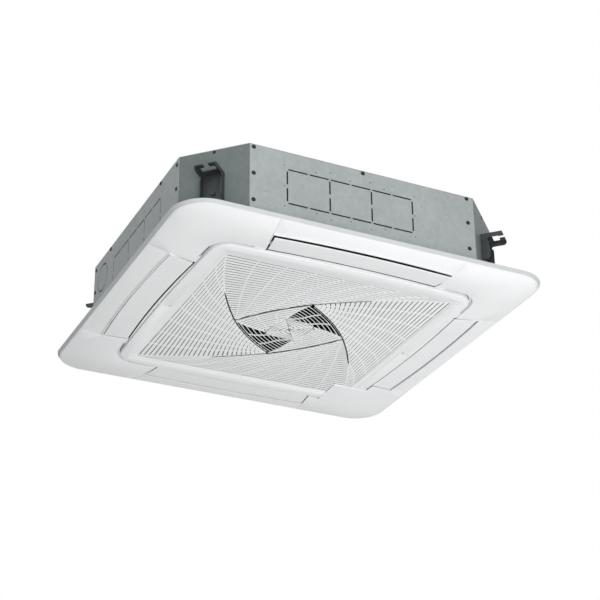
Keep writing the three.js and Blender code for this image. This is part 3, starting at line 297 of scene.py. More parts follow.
def boxMesh(name, low, high):
    # two opposite corners, in millimetres
    (x0, y0, z0), (x1, y1, z1) = [[value * mm for value in corner] for corner in (low, high)]
    corners = [(x, y, z) for z in (z0, z1) for x, y in ((x0, y0), (x1, y0), (x1, y1), (x0, y1))]
    faces = [(3, 2, 1, 0), (4, 5, 6, 7), (0, 1, 5, 4), (1, 2, 6, 5), (2, 3, 7, 6), (3, 0, 4, 7)]
    return meshFrom(name, corners, faces)


def loftMesh(name, rings):
    # closed outlines in metres, each with its height in millimetres
    count = len(rings[0][0])
    points = [(x, y, z * mm) for outline, z in rings for x, y in outline]
    faces = [tuple(reversed(range(count)))]
    for ring in range(len(rings) - 1):
        for step in range(count):
            here, there = ring * count + step, ring * count + (step + 1) % count
            faces.append((here, there, there + count, here + count))
    last = (len(rings) - 1) * count
    faces.append(tuple(range(last, last + count)))
    return meshFrom(name, points, faces)


def prismMesh(name, outline, low, high):
    return loftMesh(name, [(outline, low), (outline, high)])


def turnPoint(point, index):
    x, y = point
    for _ in range(index):
        x, y = -y, x
    return x, y


def turned(mesh, index):
    copy = mesh.copy()
    copy.transform(Matrix.Rotation(index * math.pi / 2, 4, "Z"))
    return copy


def merged(name, meshes):
    joined = bmesh.new()
    for mesh in meshes:
        joined.from_mesh(mesh)
    result = bpy.data.meshes.new(name)
    joined.to_mesh(result)
    joined.free()
    return result


def evaluated(obj):
    bpy.context.view_layer.update()
    graph = bpy.context.evaluated_depsgraph_get()
    return bpy.data.meshes.new_from_object(obj.evaluated_get(graph), depsgraph=graph)


def carved(mesh, cutters, operation="DIFFERENCE"):
    body = makeObject("carveBody", mesh)
    tools = [makeObject("carveTool", cutter) for cutter in cutters]
    for tool in tools:
        step = body.modifiers.new("carve", "BOOLEAN")
        step.operation = operation
        step.solver = "EXACT"
        step.object = tool
    result = evaluated(body)
    for obj in [body, *tools]:
        bpy.data.objects.remove(obj)
    return result


def smoothed(mesh, angle=32):
    for face in mesh.polygons:
        face.use_smooth = True
    mesh.set_sharp_from_angle(angle=math.radians(angle))
    return mesh


def softEdges(mesh, width, segments=2, angle=40):
    body = makeObject("edgeBody", mesh)
    step = body.modifiers.new("edges", "BEVEL")
    step.width = width
    step.segments = segments
    step.limit_method = "ANGLE"
    step.angle_limit = math.radians(angle)
    step.use_clamp_overlap = True
    step.harden_normals = False
    result = evaluated(body)
    bpy.data.objects.remove(body)
    return result


def place(name, mesh, material, body, slot, *replaced):
    mesh.materials.clear()
    mesh.materials.append(material)
    obj = makeObject(name, mesh)
    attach(obj, body)
    if replaced:
        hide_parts(*replaced)
    return obj


class TreeMaker:
    def __init__(self, name, inputs):
        self.tree = bpy.data.node_groups.new(name, "GeometryNodeTree")
        face = self.tree.interface
        face.new_socket(name="Geometry", in_out="INPUT", socket_type="NodeSocketGeometry")
        self.identifiers = {}
        for label, kind, value in inputs:
            socket = face.new_socket(name=label, in_out="INPUT", socket_type=f"NodeSocket{kind}")
            if value is not None:
                socket.default_value = value
            self.identifiers[label] = socket.identifier
        face.new_socket(name="Geometry", in_out="OUTPUT", socket_type="NodeSocketGeometry")
        self.source = self.tree.nodes.new("NodeGroupInput")
        self.result = self.tree.nodes.new("NodeGroupOutput")

    def value(self, label):
        return self.source.outputs[label]

    def link(self, output, target):
        self.tree.links.new(output, target)

    def node(self, kind, links=(), **settings):
        made = self.tree.nodes.new(kind)
        for key, value in settings.items():
            setattr(made, key, value)
        for key, value in dict(links).items():
            socket = made.inputs[key]
            if isinstance(value, bpy.types.NodeSocket):
                self.link(value, socket)
            else:
                socket.default_value = value
        return made

    def math(self, operation, first, second=0.0):
        return self.node("ShaderNodeMath", {0: first, 1: second}, operation=operation).outputs[0]

    def plus(self, first, second):
        return self.math("ADD", first, second)

    def minus(self, first, second):
        return self.math("SUBTRACT", first, second)

    def times(self, first, second):
        return self.math("MULTIPLY", first, second)

    def over(self, first, second):
        return self.math("DIVIDE", first, second)

    def vector(self, operation, first, second=None, scale=None):
        made = self.node("ShaderNodeVectorMath", {0: first}, operation=operation)
        for key, socket in ((1, second), ("Scale", scale)):
            if socket:
                self.link(socket, made.inputs[key])
        return made.outputs["Vector"]

    def keep(self, geometry, **values):
        # stores fields on the points, for use after they are copied or moved
        stored = self.node("GeometryNodeCaptureAttribute", {"Geometry": geometry})
        for label, value in values.items():
            stored.capture_items.new("FLOAT" if value.type == "VALUE" else "VECTOR", label)
        for number, value in enumerate(values.values(), 1):
            self.link(value, stored.inputs[number])
        return {"geometry": stored.outputs[0],
                **{label: stored.outputs[number] for number, label in enumerate(values, 1)}}

    def spots(self, label):
        # as many points as the input says, all at the origin
        line = self.node("GeometryNodeMeshLine", {"Count": self.value(label), "Offset": (0, 0, 0)})
        return line.outputs[0]

    def turnedCopies(self, geometry):
        spots = self.spots("Copies")
        index = self.node("GeometryNodeInputIndex").outputs[0]
        step = self.over(2 * math.pi, self.value("Copies"))
        angle = self.plus(self.times(index, step), self.value("FirstTurn"))
        turn = self.node("ShaderNodeCombineXYZ", {"Z": angle}).outputs[0]
        return self.node("GeometryNodeInstanceOnPoints",
                         {"Points": spots, "Instance": geometry, "Rotation": turn}).outputs[0]

    def finish(self, geometry, material):
        real = self.node("GeometryNodeRealizeInstances", {"Geometry": geometry}).outputs[0]
        painted = self.node("GeometryNodeSetMaterial", {"Geometry": real, "Material": material}).outputs[0]
        self.link(painted, self.result.inputs[0])

    def run(self, name, values, mesh=None):
        body = makeObject(name, mesh or bpy.data.meshes.new(name))
        modifier = body.modifiers.new("nodes", "NODES")
        modifier.node_group = self.tree
        for label, value in values.items():
            modifier[self.identifiers[label]] = value
        result = evaluated(body)
        bpy.data.objects.remove(body)
        return result


whirlInputs = [("Start", "Vector", (0, 0, 0)), ("End", "Vector", (0, 0, 0)), ("Bow", "Vector", (0, 0, 0)),
               ("SideBow", "Float", 0.0), ("Rate", "Float", 1.8), ("Steps", "Float", 10.0),
               ("First", "Float", 0.0), ("Count", "Int", 10), ("Width", "Float", 0.003),
               ("Depth", "Float", 0.003), ("Lift", "Float", 0.002), ("Copies", "Int", 4),
               ("FirstTurn", "Float", 0.0)]
slatInputs = whirlInputs + [("Gap", "Float", 0.002), ("EndGap", "Float", 0.001), ("StartBow", "Float", 0.0),
                            ("EndBow", "Float", 0.0), ("TopShare", "Float", 1.0), ("Lean", "Float", 0.0),
                            ("Overlap", "Float", 0.0)]


def between(maker, first, second, share):
    run = maker.vector("SUBTRACT", second, first)
    return maker.vector("ADD", first, maker.vector("SCALE", run, scale=share))


def archAt(maker, share):
    # 0 at both ends and 1 in the middle
    return maker.times(maker.times(share, maker.minus(1.0, share)), 4.0)


def spinePoint(maker, share):
    # point on the bowed spiral rib of a tier
    straight = between(maker, maker.value("Start"), maker.value("End"), share)
    bow = maker.vector("SCALE", maker.value("Bow"), scale=archAt(maker, share))
    return maker.vector("ADD", straight, bow)


def quarterOn(maker, point):
    parts = maker.node("ShaderNodeSeparateXYZ", {0: point})
    back = maker.times(parts.outputs["Y"], -1.0)
    return maker.node("ShaderNodeCombineXYZ", {"X": back, "Y": parts.outputs["X"]}).outputs[0]


def sidePoint(maker, share):
    # point on the bowed side between this tier and the next one in
    far = quarterOn(maker, maker.value("End"))
    straight = between(maker, far, maker.value("End"), share)
    outward = maker.vector("NORMALIZE", maker.vector("ADD", maker.value("End"), far))
    bow = maker.times(archAt(maker, share), maker.value("SideBow"))
    return maker.vector("ADD", straight, maker.vector("SCALE", outward, scale=bow))


def slatEnds(maker, shift=0.0):
    # near end on the spiral, far end on the next spiral or, past its end, on the side
    index = maker.node("GeometryNodeInputIndex").outputs[0]
    step = maker.plus(maker.plus(index, maker.value("First")), shift)
    share = maker.over(step, maker.value("Steps"))
    near = spinePoint(maker, share)
    reach = maker.times(share, maker.value("Rate"))
    onSpine = quarterOn(maker, spinePoint(maker, maker.math("MINIMUM", reach, 1.0)))
    overRun = maker.minus(reach, 1.0)
    past = maker.over(overRun, maker.minus(maker.value("Rate"), 1.0))
    onSide = sidePoint(maker, maker.math("MAXIMUM", past, 0.0))
    beyond = maker.node("FunctionNodeCompare", {"A": reach, "B": 1.0}, operation="GREATER_THAN").outputs[0]
    far = maker.node("GeometryNodeSwitch", {"Switch": beyond, "False": onSpine, "True": onSide},
                     input_type="VECTOR").outputs[0]
    return near, far, share


def raised(maker, point, height):
    lift = maker.node("ShaderNodeCombineXYZ", {"Z": height}).outputs[0]
    return maker.vector("ADD", point, lift)


def barAlong(maker, line, point):
    # upright bar, as wide and deep as the inputs say, through the points
    height = maker.plus(maker.value("Lift"), maker.times(maker.value("Depth"), 0.5))
    placed = maker.node("GeometryNodeSetPosition",
                        {"Geometry": line, "Position": raised(maker, point, height)})
    path = maker.node("GeometryNodeMeshToCurve", {"Mesh": placed.outputs[0]})
    upright = maker.node("GeometryNodeSetCurveNormal", {"Curve": path.outputs[0]}, mode="Z_UP")
    section = maker.node("GeometryNodeCurvePrimitiveQuadrilateral",
                         {"Width": maker.value("Width"), "Height": maker.value("Depth")})
    return maker.node("GeometryNodeCurveToMesh",
                      {"Curve": upright.outputs[0], "Profile Curve": section.outputs[0], "Fill Caps": True})


def slatTree(material):
    # bars between neighbouring spirals, their ends cut along them, with sides that draw in upwards
    maker = TreeMaker("whirlSlats", slatInputs)
    line = maker.spots("Count")
    near, far, share = slatEnds(maker)
    nextNear, nextFar, _ = slatEnds(maker, 1.0)
    way = maker.vector("NORMALIZE", maker.vector("SUBTRACT", far, near))
    parts = maker.node("ShaderNodeSeparateXYZ", {0: way})
    back = maker.times(parts.outputs["X"], -1.0)
    outward = maker.node("ShaderNodeCombineXYZ", {"X": parts.outputs["Y"], "Y": back}).outputs[0]

    def halfWidth(here, there, gap):
        # half the bar's width, in steps from one bar to the next
        step = maker.vector("SUBTRACT", there, here)
        product = maker.node("ShaderNodeVectorMath", {0: step, 1: outward}, operation="DOT_PRODUCT")
        pitch = maker.math("MAXIMUM", maker.math("ABSOLUTE", product.outputs["Value"]), 0.0005)
        width = maker.math("MAXIMUM", maker.minus(pitch, gap), maker.value("Width"))
        return maker.math("MINIMUM", maker.over(maker.times(width, 0.5), pitch), 0.5)

    nearHalf = halfWidth(near, nextNear, maker.value("Gap"))
    farHalf = halfWidth(far, nextFar, maker.value("EndGap"))
    nearOuter = slatEnds(maker, maker.times(nearHalf, -1.0))[0]
    nearInner = slatEnds(maker, nearHalf)[0]
    overlap = maker.vector("SCALE", way, scale=maker.value("Overlap"))
    farOuter = maker.vector("ADD", slatEnds(maker, maker.times(farHalf, -1.0))[1], overlap)
    farInner = maker.vector("ADD", slatEnds(maker, farHalf)[1], overlap)
    grown = maker.times(maker.minus(maker.value("EndBow"), maker.value("StartBow")), share)
    lean = maker.vector("SCALE", outward, scale=maker.plus(maker.value("StartBow"), grown))
    kept = maker.keep(line, nearOuter=nearOuter, nearInner=nearInner, farOuter=farOuter,
                      farInner=farInner, lean=lean)

    bar = maker.node("GeometryNodeMeshCube", {"Size": (1, 1, 1), "Vertices X": 9})
    corner = maker.node("ShaderNodeSeparateXYZ", {0: maker.node("GeometryNodeInputPosition").outputs[0]})
    along = maker.plus(corner.outputs["X"], 0.5)
    rise = maker.plus(corner.outputs["Z"], 0.5)
    drawn = maker.times(rise, maker.minus(maker.value("TopShare"), 1.0))
    across = maker.times(corner.outputs["Y"], maker.plus(drawn, 1.0))
    across = maker.plus(maker.plus(across, maker.times(rise, maker.value("Lean"))), 0.5)
    marked = maker.keep(bar.outputs[0], along=along, rise=rise, across=across, arch=archAt(maker, along))
    slats = maker.node("GeometryNodeInstanceOnPoints",
                       {"Points": kept["geometry"], "Instance": marked["geometry"]})
    real = maker.node("GeometryNodeRealizeInstances", {"Geometry": slats.outputs[0]})

    nearEnd = between(maker, kept["nearOuter"], kept["nearInner"], marked["across"])
    farEnd = between(maker, kept["farOuter"], kept["farInner"], marked["across"])
    flat = maker.vector("ADD", between(maker, nearEnd, farEnd, marked["along"]),
                        maker.vector("SCALE", kept["lean"], scale=marked["arch"]))
    height = maker.plus(maker.value("Lift"), maker.times(marked["rise"], maker.value("Depth")))
    laid = maker.node("GeometryNodeSetPosition",
                      {"Geometry": real.outputs[0], "Position": raised(maker, flat, height)})
    maker.finish(maker.turnedCopies(laid.outputs[0]), material)
    return maker


def ribTree(material):
    # thin rib across the slats of a tier, at a share of each slat that grows inward
    maker = TreeMaker("whirlRibs", whirlInputs + [("Fraction", "Float", 0.0), ("Growth", "Float", 1.1)])
    line = maker.spots("Count")
    near, far, share = slatEnds(maker)
    square = maker.times(share, share)
    grown = maker.plus(maker.times(square, maker.value("Growth")), 1.0)
    fraction = maker.math("MINIMUM", maker.times(grown, maker.value("Fraction")), 1.0)
    bar = barAlong(maker, line, between(maker, near, far, fraction))
    maker.finish(maker.turnedCopies(bar.outputs[0]), material)
    return maker


def sideTree(material):
    maker = TreeMaker("whirlSides", whirlInputs)
    line = maker.spots("Count")
    index = maker.node("GeometryNodeInputIndex").outputs[0]
    bar = barAlong(maker, line, sidePoint(maker, maker.over(index, maker.value("Steps"))))
    maker.finish(maker.turnedCopies(bar.outputs[0]), material)
    return maker


def spotTree():
    # one copy of a small part on every point of the mesh
    maker = TreeMaker("partOnSpots", [("Part", "Object", None), ("Turn", "Vector", (0, 0, 0)),
                                      ("Size", "Float", 1.0), ("Material", "Material", None)])
    part = maker.node("GeometryNodeObjectInfo", {"Object": maker.value("Part")})
    spots = maker.node("GeometryNodeMeshToPoints", {"Mesh": maker.value("Geometry")})
    copies = maker.node("GeometryNodeInstanceOnPoints",
                        {"Points": spots.outputs[0], "Instance": part.outputs["Geometry"],
                         "Rotation": maker.value("Turn"), "Scale": maker.value("Size")})
    maker.finish(copies.outputs[0], maker.value("Material"))
    return maker


panel = {
    "half": 475, "corner": 85, "rimDraft": 6, "ceiling": 25, "rim": 17,
    "crease": 8, "creaseCorner": 100, "mouth": 3, "wall": 5, "seal": 34,
    "ductWall": 2.5, "ductTop": 43, "coverThick": 2.2, "seam": 0.45, "bossRadius": 6, "bossTop": 45.7,
    "bossInset": 1.5, "fingerGap": 9, "fingerStart": 250, "fingerDepth": 13,
}
vaneSizes = {
    "inner": 357, "width": 60, "halfLength": 219.5, "flare": 0.16, "bow": 8, "thick": 2.8,
    "gap": 3.8, "pivotIn": 11, "pivotRise": 12.5, "pinRadius": 2.2, "crown": 0.7,
    "ribsAt": (-0.6, -0.2, 0.2, 0.6),  # stiffening ribs on the upper face, as shares of its half length
    "standsOpen": {"front": 8.1},  # degrees that a vane stands open at rest
}
grilleSizes = {
    "half": 346, "bow": 5.5, "bowReach": 250, "corner": 48, "gap": 1.5, "thick": 3, "wallRise": 13,
    "wall": 2.5, "field": 298, "slatTop": 6, "hingeInset": 10, "hingeRise": 6.4, "hingePinAt": 213,
    "pinRadius": 1.3, "keySlots": [(-305, 312), (305, -305)], "keySlot": ((-6, -1.2, -1), (6, 1.2, 1.6)),
    "latchSlot": ((319, -5.6, -1), (337, 5.6, 4)), "latchGate": ((337, -5.8, 3), (351, 5.8, 6.9)),
    "edge": [(-1.6, 0), (-0.9, 0.15), (-0.3, 0.6), (0, 1.4)],  # how far out, and how high, from the face up
    "steps": [(15, 14, 0.5), (5, 9, 1.1)],  # how far out, corner radius and depth of the face's two steps
}


def squareOutline(half, corner, bow=0.0, bowReach=229.0, sideSteps=30, cornerSteps=14):
    fall = bow / bowReach ** 2
    room = half - corner
    straight = (math.sqrt(1 + 4 * fall * room) - 1) / (2 * fall) if fall else room
    points = []
    for index in range(4):
        for step in range(sideSteps):
            along = straight * (2 * step / sideSteps - 1)
            points.append(turnPoint((along, -(half - fall * along ** 2)), index))
        for step in range(cornerSteps):
            angle = -math.pi / 2 + math.pi / 2 * step / cornerSteps
            bend = (straight + corner * math.cos(angle), -straight + corner * math.sin(angle))
            points.append(turnPoint(bend, index))
    return [(x * mm, y * mm) for x, y in points]


creaseHalf = vaneSizes["inner"] + vaneSizes["width"] + vaneSizes["gap"]


def rimOutline(out):
    return squareOutline(panel["half"] + out, panel["corner"] + out)


def creaseOutline():
    return squareOutline(creaseHalf, panel["creaseCorner"], vaneSizes["bow"], vaneSizes["halfLength"])


def grilleOutline(out):
    g = grilleSizes
    return squareOutline(g["half"] + out, g["corner"] + out, g["bow"], g["bowReach"])


def mouthOutline(out):
    return grilleOutline(grilleSizes["gap"] + out)


def faceHeight(outward):
    mouth = grilleSizes["half"] + grilleSizes["gap"]
    share = min(max((outward - mouth) / (creaseHalf - mouth), 0), 1)
    return panel["mouth"] + share * (panel["crease"] - panel["mouth"])


def vaneOutline(grow, steps=40):
    v = vaneSizes
    inner, outer = v["inner"] - grow, v["inner"] + v["width"] + grow
    innerHalf = v["halfLength"] - v["flare"] * v["bow"] + grow
    outerHalf = v["halfLength"] + v["flare"] * (v["width"] - v["bow"]) + grow

    def fall(along):
        return v["bow"] * (along / v["halfLength"]) ** 2

    points = []
    for step in range(steps + 1):
        along = outerHalf * (2 * step / steps - 1)
        points.append((along * mm, -(outer - fall(along)) * mm))
    for step in range(steps, -1, -1):
        along = innerHalf * (2 * step / steps - 1)
        points.append((along * mm, -(inner - fall(along)) * mm))
    return points


slotHalf = vaneSizes["halfLength"] + vaneSizes["flare"] * vaneSizes["width"] + vaneSizes["gap"]
pivotOut = vaneSizes["inner"] + vaneSizes["pivotIn"]


def dishMesh(lift):
    rim, draft = panel["rim"], panel["rimDraft"]
    rings = [
        (mouthOutline(0), panel["mouth"]),
        (creaseOutline(), panel["crease"]),
        (rimOutline(-draft - 2), rim - 1.6),
        (rimOutline(-draft - 0.6), rim - 1.0),
        (rimOutline(-draft), rim),
        (rimOutline(0), panel["ceiling"]),
    ]
    return loftMesh("dish", [(outline, z + lift) for outline, z in rings])


def hollowMesh():
    outer = panel["half"] - panel["rimDraft"]
    share = (panel["half"] - panel["seal"] - creaseHalf) / (outer - creaseHalf)
    edgeRise = panel["crease"] + share * (panel["rim"] - panel["crease"])
    inner = rimOutline(-panel["seal"])
    return loftMesh("hollow", [
        (mouthOutline(0), panel["mouth"] + panel["wall"]),
        (creaseOutline(), panel["crease"] + panel["wall"]),
        (inner, edgeRise + panel["wall"]),
        (inner, panel["ceiling"] + 1),
    ])


def cornerRegion(inset):
    v = vaneSizes
    innerEdge = v["halfLength"] - v["flare"] * v["bow"] + v["gap"] + inset
    outerEdge = slotHalf + inset
    far = panel["half"] - panel["rimDraft"] - 3 - inset
    mouth = grilleSizes["half"] - grilleSizes["bow"] - 60
    near = [(innerEdge, mouth), (innerEdge, v["inner"] - v["bow"]), (outerEdge, creaseHalf - v["bow"]),
            (outerEdge + 6, far)]
    left = [(-along, -out) for along, out in near]
    right = [(-out, -along) for along, out in reversed(near)]
    return [(x * mm, y * mm) for x, y in left + [(-far, -far)] + right]


def coverSpace(depth, inset):
    region = prismMesh("region", list(reversed(cornerRegion(inset))), -1, 24)
    limit = prismMesh("limit", rimOutline(-panel["rimDraft"] - 3 - inset), -2, 26)
    return carved(carved(region, [limit], "INTERSECT"), [dishMesh(depth)])


def shadedDuctWall(center, normal):
    # inner long wall of an air outlet, which gets painted shade
    across, along = max(abs(center.x), abs(center.y)) / mm, min(abs(center.x), abs(center.y)) / mm
    wallAt = vaneSizes["inner"] - vaneSizes["gap"] - vaneSizes["bow"] * (along / vaneSizes["halfLength"]) ** 2
    outward = normal.x * center.x + normal.y * center.y > 0
    return outward and abs(normal.z) < 0.3 and abs(across - wallAt) < 2 and center.z > panel["mouth"] * mm


def rimBand(center, normal):
    # upright outer edge of the panel, against the ceiling; it gets a darker grey as painted shade
    across = max(abs(center.x), abs(center.y)) / mm
    return abs(normal.z) < 0.75 and center.z > (panel["rim"] + 0.2) * mm and across > panel["half"] - 60


def makePanel():
    shell = carved(dishMesh(0), [hollowMesh()])
    top, wall = panel["ductTop"], panel["ductWall"]
    mouthRing = prismMesh("mouthRing", mouthOutline(wall), panel["mouth"] + 1, panel["ceiling"])
    bossAt = (grilleSizes["half"] - grilleSizes["bow"] - panel["bossInset"]) * mm
    pieces = [mouthRing]
    start = panel["fingerStart"]
    recess = panel["fingerGap"] - grilleSizes["gap"]
    nook = boxMesh("nook", (-420, -420, -2), (-start, -start, 30))
    cup = prismMesh("cup", mouthOutline(recess + wall), panel["mouth"] + 3, panel["fingerDepth"] + wall)
    cup = carved(cup, [nook], "INTERSECT")
    duct = prismMesh("duct", vaneOutline(vaneSizes["gap"] + wall), faceHeight(vaneSizes["inner"]) + 2, top)
    duct = carved(duct, [boxMesh("trim", (-420, -475, 25), (420, -402, 45))])
    boss = cylinderMesh("boss", panel["bossRadius"], panel["crease"], panel["bossTop"], 28)
    boss.transform(Matrix.Translation((-bossAt, -bossAt, 0)))
    for index in range(4):
        pieces += [turned(duct, index), turned(cup, index), turned(boss, index)]
    whole = carved(shell, pieces, "UNION")
    cutters = [prismMesh("mouthCut", mouthOutline(0), -1, 27)]
    seat = coverSpace(panel["coverThick"] + 0.3, 0)
    finger = carved(prismMesh("finger", mouthOutline(recess), -1, panel["fingerDepth"]), [nook], "INTERSECT")
    outlet = prismMesh("outlet", vaneOutline(vaneSizes["gap"]), -1, top + 1)
    pocket = boxMesh("pocket", (slotHalf + 2.5, -(pivotOut + 12), 10.2),
                     (slotHalf + 19.1, -(pivotOut - 12), top))
    for index in range(4):
        cutters += [turned(outlet, index), turned(seat, index), turned(finger, index), turned(pocket, index)]
    body = carved(whole, cutters)
    body = carved(body, [hingeEars()], "UNION")
    body = smoothed(softEdges(body, 0.35 * mm, 2))
    place("panelFrame", body, finish["panel"], "unit", "panel_white", "panel_frame")
    # slot 1: painted shade on the outlets' inner walls
    body.materials.append(finish["ductPaintedShade"])
    # slot 2: painted shade on the rim's upright band
    body.materials.append(finish["rimShade"])
    for face in body.polygons:
        # painted shade on the outlets' inner walls
        if shadedDuctWall(face.center, face.normal):
            face.material_index = 1
        # painted shade on the rim's upright band
        elif rimBand(face.center, face.normal):
            face.material_index = 2

    mouth = prismMesh("coverMouth", mouthOutline(recess + 1), -1, 26)
    cover = carved(coverSpace(panel["coverThick"], panel["seam"]), [dishMesh(0)], "INTERSECT")
    cover = carved(cover, [mouth])
    cover = softEdges(cover, 0.3 * mm, 2)
    for index, name in enumerate(cornerNames):
        place(f"cornerCover.{name}", smoothed(turned(cover, index)), finish["panel"], "unit", "panel_white",
              f"corner_cover_{name}")
    print("panel made")


def cylinderMesh(name, radius, low, high, sides=24):
    turns = [2 * math.pi * step / sides for step in range(sides)]
    outline = [(radius * mm * math.cos(turn), radius * mm * math.sin(turn)) for turn in turns]
    return prismMesh(name, outline, low, high)


def barAlongX(name, y, z, radius, x0, x1, sides=20):
    mesh = cylinderMesh(name, radius, x0, x1, sides)
    mesh.transform(Matrix.Translation((0, y * mm, z * mm)) @ Matrix.Rotation(math.pi / 2, 4, "Y"))
    return mesh


def hingeEars():
    g = grilleSizes
    axisY = g["half"] - g["hingeInset"]
    wallAt = g["half"] + g["gap"] - g["bow"] * (g["hingePinAt"] / g["bowReach"]) ** 2
    ears = []
    for side in (-1, 1):
        middle = side * g["hingePinAt"]
        tab = boxMesh("tab", (middle - 3, axisY - 2.2, g["hingeRise"] - 2.3), (middle + 3, axisY + 2.2, 20))
        arm = boxMesh("arm", (middle - 3, axisY - 2.2, 17), (middle + 3, wallAt + 1.5, 20))
        hole = barAlongX("hole", axisY, g["hingeRise"], g["pinRadius"] + 0.4, middle - 4, middle + 4)
        ears.append(carved(carved(tab, [arm], "UNION"), [hole]))
    return merged("ears", ears)


def makeVanes():
    v = vaneSizes
    low = faceHeight(v["inner"]) + 0.6
    high = faceHeight(v["inner"] + v["width"]) + 0.6
    slope = (high - low) / v["width"]
    alongSteps, acrossSteps = 48, 12
    points, faces, rows = [], [], []
    for layer in (0, 1):
        for across in range(acrossSteps + 1):
            t = across / acrossSteps
            out = v["inner"] + v["width"] * t
            crown = v["crown"] * 4 * t * (1 - t)
            half = v["halfLength"] + v["flare"] * (v["width"] * t - v["bow"])
            row = []
            for step in range(alongSteps + 1):
                along = half * (2 * step / alongSteps - 1)
                fall = v["bow"] * (along / v["halfLength"]) ** 2
                rise = low + slope * (out - fall - v["inner"])
                rise += v["thick"] if layer else -crown
                row.append(len(points))
                points.append((along * mm, -(out - fall) * mm, max(rise, low - 0.4) * mm))
            rows.append(row)
    count = acrossSteps + 1
    for layer in (0, 1):
        for across in range(acrossSteps):
            a, b = rows[layer * count + across], rows[layer * count + across + 1]
            for step in range(alongSteps):
                face = (a[step], a[step + 1], b[step + 1], b[step])
                faces.append(face if layer == 0 else tuple(reversed(face)))
    for across in (0, acrossSteps):
        a, b = rows[across], rows[count + across]
        for step in range(alongSteps):
            face = (a[step], b[step], b[step + 1], a[step + 1])
            faces.append(face if across == 0 else tuple(reversed(face)))
    for end in (0, alongSteps):
        for across in range(acrossSteps):
            face = (rows[across][end], rows[across + 1][end],
                    rows[count + across + 1][end], rows[count + across][end])
            faces.append(face if end == 0 else tuple(reversed(face)))
    blade = meshFrom("blade", points, faces)
    fixed = bmesh.new()
    fixed.from_mesh(blade)
    bmesh.ops.recalc_face_normals(fixed, faces=fixed.faces)
    fixed.to_mesh(blade)
    fixed.free()
    blade = softEdges(blade, 0.8 * mm, 3, 50)
    ribs, pins = [], []
    for side in (-1, 1):
        ends = sorted((side * (v["halfLength"] + 0.5), side * (v["halfLength"] - 4.5)))
        pins.append(boxMesh("lug", (ends[0], -(pivotOut + 4), low + 1.2),
                            (ends[1], -(pivotOut - 4), v["pivotRise"] + 3.2)))
        pin = sorted((side * (v["halfLength"] - 1), side * (slotHalf - 0.4)))
        pins.append(barAlongX("pin", -pivotOut, v["pivotRise"], v["pinRadius"], pin[0], pin[1]))
    for share in v["ribsAt"]:
        x = share * v["halfLength"]
        ribs.append(boxMesh("rib", (x - 0.8, -(v["inner"] + 50), low + 4),
                            (x + 0.8, -(v["inner"] + 6), low + 8.2)))
    bladeAndRibs = merged("blade", [blade, *ribs])
    innerEdge = Matrix.Translation((0, -v["inner"] * mm, low * mm))
    for index, name in enumerate(sideNames):
        opened = bladeAndRibs.copy()
        angle = math.radians(v["standsOpen"].get(name, 0))
        opened.transform(innerEdge @ Matrix.Rotation(angle, 4, "X") @ innerEdge.inverted())
        vane = turned(merged("vane", [opened, *pins]), index)
        place(f"vane.{name}", smoothed(vane), finish["vane"], f"vane_{name}", "panel_white", f"vane_{name}")
        # painted shade on the upper faces of the vane
        vane.materials.append(finish["vaneTopShade"])
        for face in vane.polygons:
            face.material_index = 1 if face.normal.z > 0.7 else 0
    print("vanes made")


quarterTurn = math.pi / 2
whirl = {
    "stops": [(420, 0), (146, 48), (60, 79), (0.001, 128)],  # radius and turn of each tier's corner
    "rate": 1.8, "growth": 1.1, "curveSteps": 26,
    "slats": [
        {"tier": 0, "first": 0, "gap": 2.4, "endGap": 1.2, "width": 2, "depth": 2.2, "lift": 2, "top": 0.15,
         "lean": 0.12},
        {"tier": 1, "first": 0, "gap": 1.3, "endGap": 0.9, "width": 1.5, "depth": 2.2, "lift": 2, "top": 0.15,
         "lean": 0.1, "copies": 2},
        {"tier": 1, "first": 1, "gap": 30, "endGap": 30, "width": 1.6, "depth": 0.9, "lift": 1.9, "copies": 2,
         "turn": quarterTurn},
        {"tier": 2, "first": 0, "gap": 1.0, "endGap": 0.5, "width": 1.2, "depth": 1.8, "lift": 1.9,
         "top": 0.3},
    ],
    "tiers": [
        {"steps": 27, "bow": 15.4, "side": 9, "ribs": [0.137 + 0.126 * number for number in range(7)]},
        {"steps": 9, "bow": 5, "side": 5, "ribs": [0.29, 0.58]},
        {"steps": 8, "bow": 3, "side": 0, "ribs": [0.5]},
    ],
    "spineWidth": 3.6, "spineDepth": 2.4, "sideWidth": 2.6, "ribWidths": [3.2, 2.4, 1.6],
    "ribDepths": [1.4, 2.8, 1.4], "curveLift": 1.7, "overlap": 4.5, "core": (5, 1.9, 4.5),
}


def whirlStop(radius, turn):
    angle = math.radians(225 - turn)
    return Vector((math.cos(angle) * radius * mm, math.sin(angle) * radius * mm, 0))


